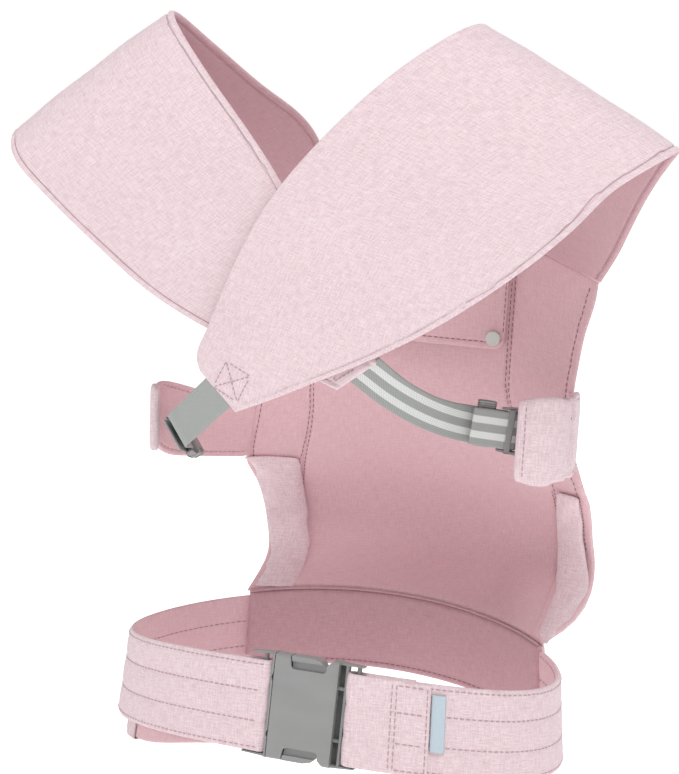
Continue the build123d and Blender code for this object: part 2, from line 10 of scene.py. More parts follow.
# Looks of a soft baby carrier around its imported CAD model. Lengths are in metres and
# every place comes from the CAD nodes; +Z is up and +Y is the wearer's front.
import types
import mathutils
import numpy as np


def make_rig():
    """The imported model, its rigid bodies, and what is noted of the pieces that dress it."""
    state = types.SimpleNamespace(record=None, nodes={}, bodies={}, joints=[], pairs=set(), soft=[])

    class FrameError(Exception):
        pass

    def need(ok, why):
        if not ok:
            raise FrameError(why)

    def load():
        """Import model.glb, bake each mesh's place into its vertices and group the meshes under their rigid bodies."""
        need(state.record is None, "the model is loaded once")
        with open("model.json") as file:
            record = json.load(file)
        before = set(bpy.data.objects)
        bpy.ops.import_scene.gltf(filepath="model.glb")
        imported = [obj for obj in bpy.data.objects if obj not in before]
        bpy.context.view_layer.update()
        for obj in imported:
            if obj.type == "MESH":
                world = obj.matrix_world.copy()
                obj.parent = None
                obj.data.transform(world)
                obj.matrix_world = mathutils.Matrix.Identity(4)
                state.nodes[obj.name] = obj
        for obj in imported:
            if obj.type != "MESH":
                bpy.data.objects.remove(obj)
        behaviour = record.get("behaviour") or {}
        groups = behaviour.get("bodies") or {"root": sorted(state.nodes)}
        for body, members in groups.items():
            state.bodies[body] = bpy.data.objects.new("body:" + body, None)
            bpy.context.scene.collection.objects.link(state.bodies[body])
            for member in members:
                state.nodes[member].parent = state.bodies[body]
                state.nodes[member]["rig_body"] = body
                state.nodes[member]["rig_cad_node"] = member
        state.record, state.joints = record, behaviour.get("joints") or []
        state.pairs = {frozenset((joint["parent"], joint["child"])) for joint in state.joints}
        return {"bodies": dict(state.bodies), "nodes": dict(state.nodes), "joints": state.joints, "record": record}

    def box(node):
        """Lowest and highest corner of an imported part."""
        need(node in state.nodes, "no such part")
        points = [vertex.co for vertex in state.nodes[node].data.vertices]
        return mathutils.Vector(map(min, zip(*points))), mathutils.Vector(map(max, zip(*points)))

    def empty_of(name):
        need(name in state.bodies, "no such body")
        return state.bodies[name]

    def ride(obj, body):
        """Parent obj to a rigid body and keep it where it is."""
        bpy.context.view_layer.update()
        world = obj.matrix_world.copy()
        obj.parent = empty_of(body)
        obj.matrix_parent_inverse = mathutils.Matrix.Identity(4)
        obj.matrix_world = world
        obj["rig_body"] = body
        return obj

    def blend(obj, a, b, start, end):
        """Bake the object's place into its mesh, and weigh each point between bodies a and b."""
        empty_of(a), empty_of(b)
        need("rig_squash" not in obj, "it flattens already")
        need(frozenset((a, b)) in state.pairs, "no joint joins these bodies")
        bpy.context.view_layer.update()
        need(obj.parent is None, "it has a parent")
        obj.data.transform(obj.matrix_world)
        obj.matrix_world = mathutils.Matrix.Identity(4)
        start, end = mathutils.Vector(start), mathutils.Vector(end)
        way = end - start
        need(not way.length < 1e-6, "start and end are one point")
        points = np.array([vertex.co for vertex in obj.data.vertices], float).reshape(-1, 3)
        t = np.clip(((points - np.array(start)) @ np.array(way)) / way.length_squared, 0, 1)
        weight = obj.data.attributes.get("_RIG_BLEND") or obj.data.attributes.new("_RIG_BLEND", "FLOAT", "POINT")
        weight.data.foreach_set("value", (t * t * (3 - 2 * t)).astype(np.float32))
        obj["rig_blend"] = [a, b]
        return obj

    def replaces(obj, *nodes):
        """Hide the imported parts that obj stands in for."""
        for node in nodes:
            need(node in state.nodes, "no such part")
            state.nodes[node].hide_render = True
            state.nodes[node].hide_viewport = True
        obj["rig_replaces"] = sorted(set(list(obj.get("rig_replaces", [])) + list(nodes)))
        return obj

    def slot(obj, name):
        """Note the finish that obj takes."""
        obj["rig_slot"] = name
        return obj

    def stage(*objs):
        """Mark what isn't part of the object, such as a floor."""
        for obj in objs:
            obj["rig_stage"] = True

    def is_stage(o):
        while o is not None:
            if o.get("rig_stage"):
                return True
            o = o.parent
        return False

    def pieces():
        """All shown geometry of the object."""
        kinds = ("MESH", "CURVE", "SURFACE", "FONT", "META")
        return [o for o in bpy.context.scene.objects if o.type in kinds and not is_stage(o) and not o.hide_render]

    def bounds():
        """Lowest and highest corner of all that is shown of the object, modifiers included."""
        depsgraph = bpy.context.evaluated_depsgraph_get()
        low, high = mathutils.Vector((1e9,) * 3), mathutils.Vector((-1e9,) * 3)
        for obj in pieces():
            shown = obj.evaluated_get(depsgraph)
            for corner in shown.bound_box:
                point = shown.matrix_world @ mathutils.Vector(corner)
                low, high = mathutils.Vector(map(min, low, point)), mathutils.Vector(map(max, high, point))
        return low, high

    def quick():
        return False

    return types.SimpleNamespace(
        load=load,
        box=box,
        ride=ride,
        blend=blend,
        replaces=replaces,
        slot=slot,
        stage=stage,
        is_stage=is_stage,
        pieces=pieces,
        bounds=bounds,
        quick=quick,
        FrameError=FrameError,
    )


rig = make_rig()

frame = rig.load()
cad_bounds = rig.bounds()
NODES = frame["nodes"]
MM = 0.001
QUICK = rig.quick()

# ---------------------------------------------------------------- colours

OUTER_LIGHT = (0.930, 0.800, 0.825)
OUTER_DARK = (0.700, 0.510, 0.550)
LINING_LIGHT = (0.890, 0.640, 0.670)
LINING_DARK = (0.700, 0.440, 0.475)
# The waist pad's inner face and piping: the lining's deeper pink with painted shade, darker than the panel lining.
PAD_SHADED_LIGHT = (0.670, 0.425, 0.460)
PAD_SHADED_DARK = (0.500, 0.290, 0.325)
THREAD_OUTER = (0.560, 0.390, 0.430)
THREAD_LINING = (0.360, 0.200, 0.235)
PLASTIC_GREY = (0.262, 0.266, 0.262)
WEBBING_GREY = (0.390, 0.410, 0.395)
STRIPE_GREY = (0.400, 0.415, 0.400)
STRIPE_WHITE = (0.800, 0.820, 0.800)
ELASTIC_GREY = (0.420, 0.420, 0.405)
TAG_BLUE = (0.520, 0.620, 0.680)
SNAP_WHITE = (0.600, 0.640, 0.600)


# ---------------------------------------------------------------- material helpers

class Graph:
    """A short way to write a material's nodes."""

    def __init__(self, name):
        self.material = bpy.data.materials.new(name)
        self.material.use_nodes = True
        self.tree = self.material.node_tree
        self.tree.nodes.clear()
        self.output = self.node("ShaderNodeOutputMaterial")
        self.shader = self.node("ShaderNodeBsdfPrincipled")
        self.link(self.shader.outputs["BSDF"], self.output.inputs["Surface"])

    def node(self, kind, **values):
        made = self.tree.nodes.new(kind)
        for key, value in values.items():
            setattr(made, key, value)
        return made

    def link(self, source, target):
        self.tree.links.new(source, target)

    def put(self, target, value):
        if isinstance(value, bpy.types.NodeSocket):
            self.link(value, target)
        else:
            target.default_value = value

    def math(self, operation, a, b=0.0):
        made = self.node("ShaderNodeMath", operation=operation)
        self.put(made.inputs[0], a)
        self.put(made.inputs[1], b)
        return made.outputs[0]

    def scaled(self, vector, scale):
        made = self.node("ShaderNodeVectorMath", operation="MULTIPLY")
        self.put(made.inputs[0], vector)
        made.inputs[1].default_value = scale
        return made.outputs[0]

    def noise(self, vector, scale=1.0, detail=2.0):
        made = self.node("ShaderNodeTexNoise")
        self.link(vector, made.inputs["Vector"])
        made.inputs["Scale"].default_value = scale
        made.inputs["Detail"].default_value = detail
        return made.outputs["Fac"]

    def mix(self, share, a, b):
        made = self.node("ShaderNodeMix", data_type="RGBA")
        self.put(made.inputs["Factor"], share)
        for target, value in ((made.inputs["A"], a), (made.inputs["B"], b)):
            self.put(target, (*value, 1.0) if isinstance(value, tuple) else value)
        return made.outputs["Result"]

    def ramp(self, value, low, high):
        """value mapped from low..high to 0..1, clamped."""
        made = self.node("ShaderNodeMapRange")
        self.link(value, made.inputs["Value"])
        made.inputs["From Min"].default_value = low
        made.inputs["From Max"].default_value = high
        return made.outputs["Result"]

    def bump(self, height, strength, distance, normal=None):
        made = self.node("ShaderNodeBump")
        made.inputs["Strength"].default_value = strength
        made.inputs["Distance"].default_value = distance
        self.link(height, made.inputs["Height"])
        if normal is not None:
            self.link(normal, made.inputs["Normal"])
        return made.outputs["Normal"]

    def weave_uv(self):
        return self.node("ShaderNodeUVMap", uv_map="weave").outputs["UV"]

    def finish(self, colour, roughness, normal=None, sheen=0.0, specular=0.3):
        self.put(self.shader.inputs["Base Color"], colour)
        self.put(self.shader.inputs["Roughness"], roughness)
        self.shader.inputs["Specular IOR Level"].default_value = specular
        self.shader.inputs["Sheen Weight"].default_value = sheen
        self.shader.inputs["Sheen Roughness"].default_value = 0.5
        if normal is not None:
            self.link(normal, self.shader.inputs["Normal"])
        return self.material


def melange_fabric(name, light, dark, contrast):
    """Plain-woven melange cloth: slubs along both threads, faint mottling, a fine weave."""
    g = Graph(name)
    uv = g.weave_uv()
    along = g.noise(g.scaled(uv, (130, 1050, 1)), 1.0, 2.0)
    across = g.noise(g.scaled(uv, (1050, 130, 1)), 1.0, 2.0)
    slub = g.math("MULTIPLY", g.math("ADD", along, across), 0.5)
    speck = g.noise(uv, 1300.0, 1.0)
    mottle = g.noise(uv, 14.0, 2.0)
    tone = g.math("ADD", g.math("MULTIPLY", slub, 0.62), g.math("MULTIPLY", speck, 0.32))
    tone = g.math("ADD", tone, g.math("MULTIPLY", mottle, 0.06))
    share = g.ramp(tone, 0.5 - 0.14 / contrast, 0.5 + 0.14 / contrast)
    colour = g.mix(share, dark, light)
    split = g.node("ShaderNodeSeparateXYZ")
    g.link(uv, split.inputs[0])
    pitch = 2 * math.pi / 0.0011
    warp = g.math("SINE", g.math("MULTIPLY", split.outputs[0], pitch))
    weft = g.math("SINE", g.math("MULTIPLY", split.outputs[1], pitch))
    weave = g.math("MULTIPLY", warp, weft)
    height = g.math("ADD", weave, g.math("MULTIPLY", slub, 3.0))
    normal = g.bump(height, 0.22, 0.0004)
    normal = g.bump(g.noise(uv, 60.0, 3.0), 0.12, 0.0025, normal)
    return g.finish(colour, 0.92, normal, sheen=0.25, specular=0.12)


def thread(name, colour):
    g = Graph(name)
    uv = g.node("ShaderNodeTexCoord").outputs["Object"]
    twist = g.noise(uv, 1800.0, 1.0)
    tone = g.mix(twist, tuple(0.8 * c for c in colour), tuple(1.15 * c for c in colour))
    return g.finish(tone, 0.7, g.bump(twist, 0.3, 0.0002), sheen=0.2, specular=0.2)


def webbing(name, stripes, width):
    """Twill webbing; stripes is a list of (share of width, colour) across it."""
    g = Graph(name)
    uv = g.weave_uv()
    split = g.node("ShaderNodeSeparateXYZ")
    g.link(uv, split.inputs[0])
    across = g.math("DIVIDE", split.outputs[1], width)
    ribs = g.math("ADD", g.math("MULTIPLY", split.outputs[0], 2 * math.pi / 0.0016),
                  g.math("MULTIPLY", split.outputs[1], 2 * math.pi / 0.0016))
    twill = g.math("SINE", ribs)
    ticks = g.math("SINE", g.math("MULTIPLY", split.outputs[1], 2 * math.pi / 0.0012))
    grain = g.math("ADD", g.math("MULTIPLY", twill, 0.6), g.math("MULTIPLY", ticks, 0.4))
    fleck = g.noise(uv, 1200.0, 2.0)
    colour = stripes[0][1]
    edge = stripes[0][0]
    for share, tint in stripes[1:]:
        step = g.math("GREATER_THAN", across, edge)
        colour = g.mix(step, colour, tint)
        edge += share
    if isinstance(colour, tuple):
        colour = g.mix(0.0, colour, colour)
    shade = g.math("ADD", g.math("MULTIPLY", grain, 0.20), g.math("MULTIPLY", fleck, 0.30))
    shade = g.math("ADD", shade, 0.80)
    shaded = g.node("ShaderNodeVectorMath", operation="SCALE")
    g.link(colour, shaded.inputs[0])
    g.link(shade, shaded.inputs["Scale"])
    normal = g.bump(grain, 0.45, 0.0003)
    return g.finish(shaded.outputs[0], 0.62, normal, sheen=0.15, specular=0.3)


def ribbed_elastic(name, colour, pitch):
    g = Graph(name)
    uv = g.weave_uv()
    split = g.node("ShaderNodeSeparateXYZ")
    g.link(uv, split.inputs[0])
    rib = g.math("SINE", g.math("MULTIPLY", split.outputs[0], 2 * math.pi / pitch))
    share = g.ramp(rib, -1.0, 1.0)
    tone = g.mix(share, tuple(0.6 * c for c in colour), tuple(1.25 * c for c in colour))
    return g.finish(tone, 0.8, g.bump(rib, 0.6, 0.0004), sheen=0.1, specular=0.15)


def moulded_plastic(name, colour, roughness):
    """Satin moulded plastic: faint flow marks, a fine spark-eroded grain, and convex edges painted lighter as a
    highlight.
    """
    g = Graph(name)
    place = g.node("ShaderNodeTexCoord").outputs["Object"]
    grain = g.noise(place, 2600.0, 2.0)
    flow = g.noise(g.scaled(place, (30, 30, 80)), 1.0, 2.0)
    tone = g.mix(g.ramp(flow, 0.3, 0.7), tuple(0.93 * c for c in colour), tuple(1.06 * c for c in colour))
    # Painted highlight: convex edges, found by pointiness, are mixed towards a grey half again as light.
    edge = g.node("ShaderNodeNewGeometry").outputs["Pointiness"]
    edge_highlight = g.math("MULTIPLY", g.ramp(edge, 0.52, 0.60), 0.35)
    tone = g.mix(edge_highlight, tone, tuple(min(1.0, 1.5 * c) for c in colour))
    rough = g.math("ADD", g.math("MULTIPLY", grain, 0.12), roughness)
    return g.finish(tone, rough, g.bump(grain, 0.10, 0.0002), specular=0.45)


OUTER = melange_fabric("outer_melange", OUTER_LIGHT, OUTER_DARK, 1.0)
LINING = melange_fabric("lining_melange", LINING_LIGHT, LINING_DARK, 0.8)
EDGE = melange_fabric("edge_binding", tuple(1.02 * c for c in OUTER_LIGHT), OUTER_DARK, 0.8)
LINING_EDGE = melange_fabric("lining_binding", tuple(1.08 * c for c in LINING_LIGHT), LINING_DARK, 0.8)
THREAD_1 = thread("thread_outer", THREAD_OUTER)
THREAD_2 = thread("thread_lining", THREAD_LINING)
PLASTIC = moulded_plastic("buckle_plastic", PLASTIC_GREY, 0.38)
# Painted shade: the buckle plastic at 0.45 of its grey, for the web inside the waist socket's slot.
SLOT_SHADE_PLASTIC = moulded_plastic("slot_plastic", tuple(0.45 * c for c in PLASTIC_GREY), 0.5)
SNAP = moulded_plastic("snap_plastic", SNAP_WHITE, 0.30)
PLAIN_WEBBING = webbing("plain_webbing", [(1.0, WEBBING_GREY)], 0.025)
STRIPED_WEBBING = webbing("striped_webbing", [(0.20, STRIPE_GREY), (0.19, STRIPE_WHITE), (0.22, STRIPE_GREY),
                                              (0.19, STRIPE_WHITE), (0.20, STRIPE_GREY)], 0.025)
ELASTIC = ribbed_elastic("ribbed_elastic", ELASTIC_GREY, 0.0014)
TAG = melange_fabric("tag_tape", tuple(1.12 * c for c in TAG_BLUE), TAG_BLUE, 0.5)
# Painted shade: the waist pad's inner face takes this darker copy of the lining.
PAD_LINING_SHADED = melange_fabric("pad_lining_melange", PAD_SHADED_LIGHT, PAD_SHADED_DARK, 0.8)


# ---------------------------------------------------------------- geometry helpers

def smoothstep(x):
    x = min(max(x, 0.0), 1.0)
    return x * x * (3 - 2 * x)


def rounded(distance, radius):
    """0 at an edge, rising like a quarter circle to 1 at radius from it."""
    return math.sqrt(max(0.0, 1 - (1 - min(distance / radius, 1.0)) ** 2))


def groove(distance, width):
    return math.exp(-(distance / width) ** 2)


def ribbon_stations(node, first):
    """Pairs of edge points along a CAD ribbon, from the end that first(point) rates lowest."""
    key_of, points, links = {}, [], {}
    mesh = NODES[node].data
    for v in mesh.vertices:
        key = tuple(round(c, 5) for c in v.co)
        if key not in key_of:
            key_of[key] = len(points)
            points.append(v.co.copy())
    index = [key_of[tuple(round(c, 5) for c in v.co)] for v in mesh.vertices]
    for edge in mesh.edges:
        a, b = index[edge.vertices[0]], index[edge.vertices[1]]
        if a != b:
            links.setdefault(a, set()).add(b)
            links.setdefault(b, set()).add(a)
    ends = sorted((i for i in links if len(links[i]) < 6), key=lambda i: first(points[i]))
    ring = {ends[0]}
    while len(ring) < 4:
        ring.add(next(i for i in ends if i not in ring and links[i] & ring))
    rings, seen = [], set()
    while ring:
        rings.append(sorted(ring))
        seen |= ring
        ring = set().union(*(links[i] for i in ring)) - seen
    stations = []
    for ids in rings:
        p = [points[i] for i in ids]
        partner = min((1, 2, 3), key=lambda i: (p[i] - p[0]).length)
        rest = [i for i in (1, 2, 3) if i != partner]
        pair = [(p[0] + p[partner]) / 2, (p[rest[0]] + p[rest[1]]) / 2]
        if stations:
            before = stations[-1]
            straight = (pair[0] - before[0]).length + (pair[1] - before[1]).length
            crossed = (pair[1] - before[0]).length + (pair[0] - before[1]).length
            if crossed < straight:
                pair.reverse()
        stations.append(pair)
    return stations


def hermite(values, times, t):
    """A smooth curve through values at times, evaluated at t."""
    i = min(max(bisect.bisect_right(times, t) - 1, 0), len(times) - 2)

    def slope(k):
        a, b = max(k - 1, 0), min(k + 1, len(times) - 1)
        return (values[b] - values[a]) / (times[b] - times[a])

    span = times[i + 1] - times[i]
    s = (t - times[i]) / span
    a, b = slope(i) * span, slope(i + 1) * span
    s2, s3 = s * s, s * s * s
    return (values[i] * (2 * s3 - 3 * s2 + 1) + a * (s3 - 2 * s2 + s)
            + values[i + 1] * (3 * s2 - 2 * s3) + b * (s3 - s2))


def resampled(stations, step, outward):
    """Edge pairs along the ribbon, about step apart on a smooth curve, ordered so that the
    outer face at its middle looks along outward."""
    times = [0.0]
    for (a, b), (c, d) in zip(stations, stations[1:]):
        times.append(times[-1] + ((c + d) / 2 - (a + b) / 2).length)
    rows = []
    for share in clusters(times[-1], (), step):
        t = times[-1] * share
        rows.append([hermite([s[side] for s in stations], times, t) for side in (0, 1)])
    middle = len(rows) // 2
    along = rows[middle + 1][0] - rows[middle - 1][0]
    across = rows[middle][1] - rows[middle][0]
    if along.cross(across).dot(outward) < 0:
        rows = [[b, a] for a, b in rows]
    return rows


def clusters(width, lines, spacing, flank=(0.5, 1.1, 2.2)):
    """Shares across a strip: even spacing, with extra rows beside each line's offset."""
    marks = {0.0, width}
    count = max(2, round(width / spacing))
    even = [width * i / count for i in range(1, count)]
    for edge in (0.0, width):
        for offset in (0.35, 0.9, 1.7, 2.6):
            marks.add(abs(edge - offset * MM))
    for line in lines:
        marks.add(line)
        for offset in flank:
            marks.update((line - offset * MM, line + offset * MM))
    for mark in even:
        if all(abs(mark - other) > 0.45 * spacing for other in marks):
            marks.add(mark)
    kept = []
    for mark in sorted(marks):
        if 0 <= mark <= width and (not kept or mark - kept[-1] > 0.15 * MM):
            kept.append(mark)
    return [mark / width for mark in kept]


class Sheet:
    """A padded strip of fabric as one closed mesh. rows is a grid of middle points, rows
    along u and points across v; rise(u, v, width, length) gives the height of the outer
    and the inner face above the middle, and must reach 0 on every open edge."""

    def __init__(self, name, rows, rise, materials, slot, edge_band=0.0):
        self.rows = rows
        self.u = [0.0]
        middle = len(rows[0]) // 2
        for a, b in zip(rows, rows[1:]):
            self.u.append(self.u[-1] + (b[middle] - a[middle]).length)
        self.length = self.u[-1]
        self.v = []
        for row in rows:
            line = [0.0]
            for a, b in zip(row, row[1:]):
                line.append(line[-1] + (b - a).length)
            self.v.append(line)
        self.normals = self.find_normals()
        self.tops, self.backs = [], []
        for i, row in enumerate(rows):
            top, back = [], []
            for j, p in enumerate(row):
                up, down = rise(self.u[i], self.v[i][j], self.v[i][-1], self.length)
                top.append(p + self.normals[i][j] * up)
                back.append(p - self.normals[i][j] * down)
            self.tops.append(top)
            self.backs.append(back)
        self.object = self.build(name, materials, slot, edge_band)

    def find_normals(self):
        grid, n, m = [], len(self.rows), len(self.rows[0])
        for i in range(n):
            line = []
            for j in range(m):
                along = self.rows[min(i + 1, n - 1)][j] - self.rows[max(i - 1, 0)][j]
                across = self.rows[i][min(j + 1, m - 1)] - self.rows[i][max(j - 1, 0)]
                line.append(along.cross(across).normalized())
            grid.append(line)
        return grid

    def build(self, name, materials, slot, edge_band):
        n, m = len(self.rows), len(self.rows[0])
        points, uvs, faces, kinds = [], [], [], []

        def index(i, j, back):
            return 2 * (i * m + j) + (1 if back else 0)

        for i in range(n):
            for j in range(m):
                points += [self.tops[i][j], self.backs[i][j]]
                uvs += [(self.u[i], self.v[i][j])] * 2
        for i in range(n - 1):
            for j in range(m - 1):
                middle = (self.v[i][j] + self.v[i][j + 1]) / 2
                in_band = min(middle, self.v[i][-1] - middle) < edge_band
                for back in (False, True):
                    quad = [index(i, j, back), index(i + 1, j, back), index(i + 1, j + 1, back),
                            index(i, j + 1, back)]
                    faces.append(quad[::-1] if back else quad)
                    kinds.append(2 if in_band else (1 if back else 0))
        made = mesh_object(name, points, faces, materials, kinds, uvs)
        bm = bmesh.new()
        bm.from_mesh(made.data)
        bmesh.ops.remove_doubles(bm, verts=bm.verts, dist=0.02 * MM)
        bmesh.ops.dissolve_degenerate(bm, edges=bm.edges, dist=0.005 * MM)
        bm.to_mesh(made.data)
        bm.free()
        for polygon in made.data.polygons:
            polygon.use_smooth = True
        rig.slot(made, slot)
        return made

    def place(self, u, v, back=False):
        """The surface point and outward normal at u along and v across, both in metres."""
        u = min(max(u, 0.0), self.length)
        i = min(max(bisect.bisect_right(self.u, u) - 1, 0), len(self.u) - 2)
        s = (u - self.u[i]) / (self.u[i + 1] - self.u[i])
        grid = self.backs if back else self.tops
        found = []
        for k in (i, i + 1):
            line = self.v[k]
            w = min(max(v, 0.0), line[-1])
            j = min(max(bisect.bisect_right(line, w) - 1, 0), len(line) - 2)
            t = (w - line[j]) / max(line[j + 1] - line[j], 1e-9)
            found.append((grid[k][j].lerp(grid[k][j + 1], t),
                          self.normals[k][j].lerp(self.normals[k][j + 1], t)))
        normal = found[0][1].lerp(found[1][1], s).normalized()
        return found[0][0].lerp(found[1][0], s), -normal if back else normal

    def width(self, u):
        i = min(max(bisect.bisect_right(self.u, u) - 1, 0), len(self.u) - 2)
        return self.v[i][-1]


def mesh_object(name, points, faces, materials, kinds=None, uvs=None):
    mesh = bpy.data.meshes.new(name)
    mesh.from_pydata([tuple(p) for p in points], [], faces)
    for material in materials:
        mesh.materials.append(material)
    if kinds:
        mesh.polygons.foreach_set("material_index", [min(k, len(materials) - 1) for k in kinds])
    if uvs:
        layer = mesh.uv_layers.new(name="weave")
        flat = [c for loop in mesh.loops for c in uvs[loop.vertex_index]]
        layer.data.foreach_set("uv", flat)
    mesh.update()
    made = bpy.data.objects.new(name, mesh)
    bpy.context.scene.collection.objects.link(made)
    return made


def strip_rows(pairs, shares):
    """A grid of points between pairs of edge points, at the given shares across."""
    return [[a.lerp(b, share) for share in shares] for a, b in pairs]


def padded(thickness, puff=0.0, lines=(), depth=0.5, line_width=0.7, soft=0.0, seed=0.0, ends=True):
    """A rise function: a pad with rounded edges, a swelling, sewn-down lines and softness.
    A line is an offset from the low edge, or from the high edge if negative."""
    half = thickness / 2

    def rise(u, v, width, length):
        inset = min(v, width - v)
        shape = rounded(inset, half)
        if ends:
            shape = min(shape, rounded(min(u, length - u), half))
        cut = 0.0
        for line in lines:
            at = line if line >= 0 else width + line
            cut = max(cut, depth * groove(v - at, line_width * MM))
        swell = puff * smoothstep(inset / (0.3 * width)) * shape
        wave = soft * noise.noise(Vector((u * 28 + seed, v * 28, seed))) * shape
        body = half * shape - min(cut * MM, 0.6 * half * shape) + swell
        return body + wave, body - wave
    return rise


def channelled(thickness, puff_out, puff_in, cuts, soft=0.15 * MM, seed=0.0, ends=True):
    """A rise function for a band sewn into padded channels; cuts are offsets across it."""
    half = thickness / 2

    def rise(u, v, width, length):
        shape = rounded(min(v, width - v), half)
        if ends:
            shape = min(shape, rounded(min(u, length - u), half))
        marks = [0.0, *cuts, width]
        k = min(max(bisect.bisect_right(marks, v) - 1, 0), len(marks) - 2)
        share = (v - marks[k]) / (marks[k + 1] - marks[k])
        swell = math.sin(math.pi * min(max(share, 0.0), 1.0)) ** 0.6
        uneven = 1 + 0.35 * noise.noise(Vector((u * 22 + seed, v * 12, seed)))
        wave = soft * noise.noise(Vector((u * 45 + seed, v * 45, -seed))) * shape
        return half * shape + (puff_out * swell * uneven + wave) * shape, \
            half * shape + (puff_in * swell * uneven - wave) * shape
    return rise


def tube(name, path, radius, material, slot, sides=8, closed=False):
    """A round cord along a path of points."""
    count = len(path)
    points, faces, uvs = [], [], []
    length = 0.0
    normal = None
    for i, p in enumerate(path):
        a = path[(i - 1) % count if closed else max(i - 1, 0)]
        b = path[(i + 1) % count if closed else min(i + 1, count - 1)]
        along = (b - a).normalized()
        if normal is None:
            normal = along.orthogonal().normalized()
        normal = (normal - along * normal.dot(along)).normalized()
        side = along.cross(normal)
        if i:
            length += (p - path[i - 1]).length
        shrink = 1.0 if closed or 0 < i < count - 1 else 0.35
        for k in range(sides):
            turn = 2 * math.pi * k / sides
            points.append(p + (normal * math.cos(turn) + side * math.sin(turn)) * radius * shrink)
            uvs.append((length, turn * radius))
    for i in range(count if closed else count - 1):
        for k in range(sides):
            a, b = i * sides, ((i + 1) % count) * sides
            faces.append([a + k, b + k, b + (k + 1) % sides, a + (k + 1) % sides])
    if not closed:
        faces.append(list(range(sides)))
        faces.append(list(range((count - 1) * sides, count * sides))[::-1])
    made = mesh_object(name, points, faces, [material], None, uvs)
    for polygon in made.data.polygons:
        polygon.use_smooth = len(polygon.vertices) == 4
    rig.slot(made, slot)
    return made


class Stitching:
    """Collects dashes of thread lying on surfaces, and makes one mesh of them."""

    def __init__(self, name, material, body, slot):
        self.name, self.material, self.body, self.slot = name, material, body, slot
        self.points, self.faces = [], []

    def dash(self, a, b, normal, radius):
        along = (b - a).normalized()
        side = along.cross(normal).normalized()
        start = len(self.points)
        for share, size in ((0.0, 0.35), (0.22, 1.0), (0.78, 1.0), (1.0, 0.35)):
            centre = a.lerp(b, share) + normal * radius * (0.55 * size - 0.25)
            for x, y in ((-1, -0.4), (-0.55, 0.8), (0.55, 0.8), (1, -0.4)):
                self.points.append(centre + side * x * radius * size + normal * y * radius * size)
        for i in range(3):
            for k in range(4):
                p, q = start + 4 * i, start + 4 * (i + 1)
                self.faces.append([p + k, p + (k + 1) % 4, q + (k + 1) % 4, q + k])
        self.faces.append([start, start + 1, start + 2, start + 3])
        self.faces.append([start + 15, start + 14, start + 13, start + 12])

    def run(self, places, stitch=3.2, gap=1.1, radius=0.38, lift=0.10):
        """Dashes along a list of (point, normal) places."""
        distance, travelled = 0.0, [0.0]
        for (a, _), (b, _) in zip(places, places[1:]):
            distance += (b - a).length
            travelled.append(distance)

        def at(s):
            i = min(max(bisect.bisect_right(travelled, s) - 1, 0), len(places) - 2)
            t = (s - travelled[i]) / max(travelled[i + 1] - travelled[i], 1e-9)
            return (places[i][0].lerp(places[i + 1][0], t),
                    places[i][1].lerp(places[i + 1][1], t).normalized())

        pitch = (stitch + gap) * MM
        s = gap * MM
        while s + stitch * MM <= distance:
            (a, n1), (b, n2) = at(s), at(s + stitch * MM)
            n = (n1 + n2).normalized()
            self.dash(a + n * lift * MM, b + n * lift * MM, n, radius * MM)
            s += pitch

    def finish(self):
        made = mesh_object(self.name, self.points, self.faces, [self.material])
        for polygon in made.data.polygons:
            polygon.use_smooth = True
        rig.slot(made, self.slot)
        return made


def along_line(sheet, offset, start=0.0, end=None, back=False, step=4.0):
    """Places on a sheet along u, at a fixed offset from the low (or, if negative, high) edge."""
    end = sheet.length if end is None else end
    count = max(2, round((end - start) / (step * MM)))
    places = []
    for k in range(count + 1):
        u = start + (end - start) * k / count
        v = offset if offset >= 0 else sheet.width(u) + offset
        places.append(sheet.place(u, v, back))
    return places


def across_line(sheet, u, low, high, back=False):
    count = max(2, round((high - low) / (3 * MM)))
    return [sheet.place(u, low + (high - low) * k / count, back) for k in range(count + 1)]



# ---------------------------------------------------------------- the waist loop

RECORD = frame["record"]
REST = Vector(RECORD["mounts"][0]["pos_m"])
BELT_HEIGHT = 63 * MM
BELT_TOP = 0.955
INTO_PAD = 5 * MM
FLARE = 6 * MM
RISE = 15 * MM
DROP = 0.6 * MM
SHIFT = 3.1 * MM
LAYER = 2 * MM
ARM = 4 * MM
PAD = 9 * MM
LOOP_OUT = 3.8 * MM

PAD_LOW, PAD_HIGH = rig.box("waist_pad_cover")
LEFT_LOW, LEFT_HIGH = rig.box("waist_belt_arm_left")
RIGHT_LOW, RIGHT_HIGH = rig.box("waist_belt_arm_right")
SEWN_LOW, SEWN_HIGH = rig.box("waist_belt_loop_right")
PANEL_LOW, PANEL_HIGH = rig.box("body_panel_centre")
FLAP_LOW, FLAP_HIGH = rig.box("head_support")
MIDDLE_X = (FLAP_LOW.x + FLAP_HIGH.x) / 2

LOOP_LEFT = LEFT_LOW.x + FLARE / 2 + SHIFT + LAYER / 2
LOOP_RIGHT = RIGHT_HIGH.x - FLARE / 2 - ARM / 2
LOOP_X = (LOOP_LEFT + LOOP_RIGHT) / 2
LOOP_Y = REST.y
LOOP_HALF_WIDTH = (LOOP_RIGHT - LOOP_LEFT) / 2
LOOP_HALF_DEPTH = PAD_HIGH.y - LOOP_Y - FLARE / 2 - PAD / 2


def loop_point(angle, out, up):
    """A point of the waist loop: plan angle in degrees, distance out, 0..1 up."""
    turn = math.radians(angle)
    normal = Vector((LOOP_HALF_DEPTH * math.cos(turn), LOOP_HALF_WIDTH * math.sin(turn), 0)).normalized()
    reach = out + FLARE * (0.5 - up)
    return Vector((
        LOOP_X + LOOP_HALF_WIDTH * math.cos(turn) + normal.x * reach,
        LOOP_Y + LOOP_HALF_DEPTH * math.sin(turn) + normal.y * reach,
        RISE * math.sin(turn) ** 2 - DROP + up * BELT_HEIGHT,
    ))


def back_angle(x):
    return -math.degrees(math.acos((x - LOOP_X) / LOOP_HALF_WIDTH))


def front_angle(x):
    return -back_angle(x)


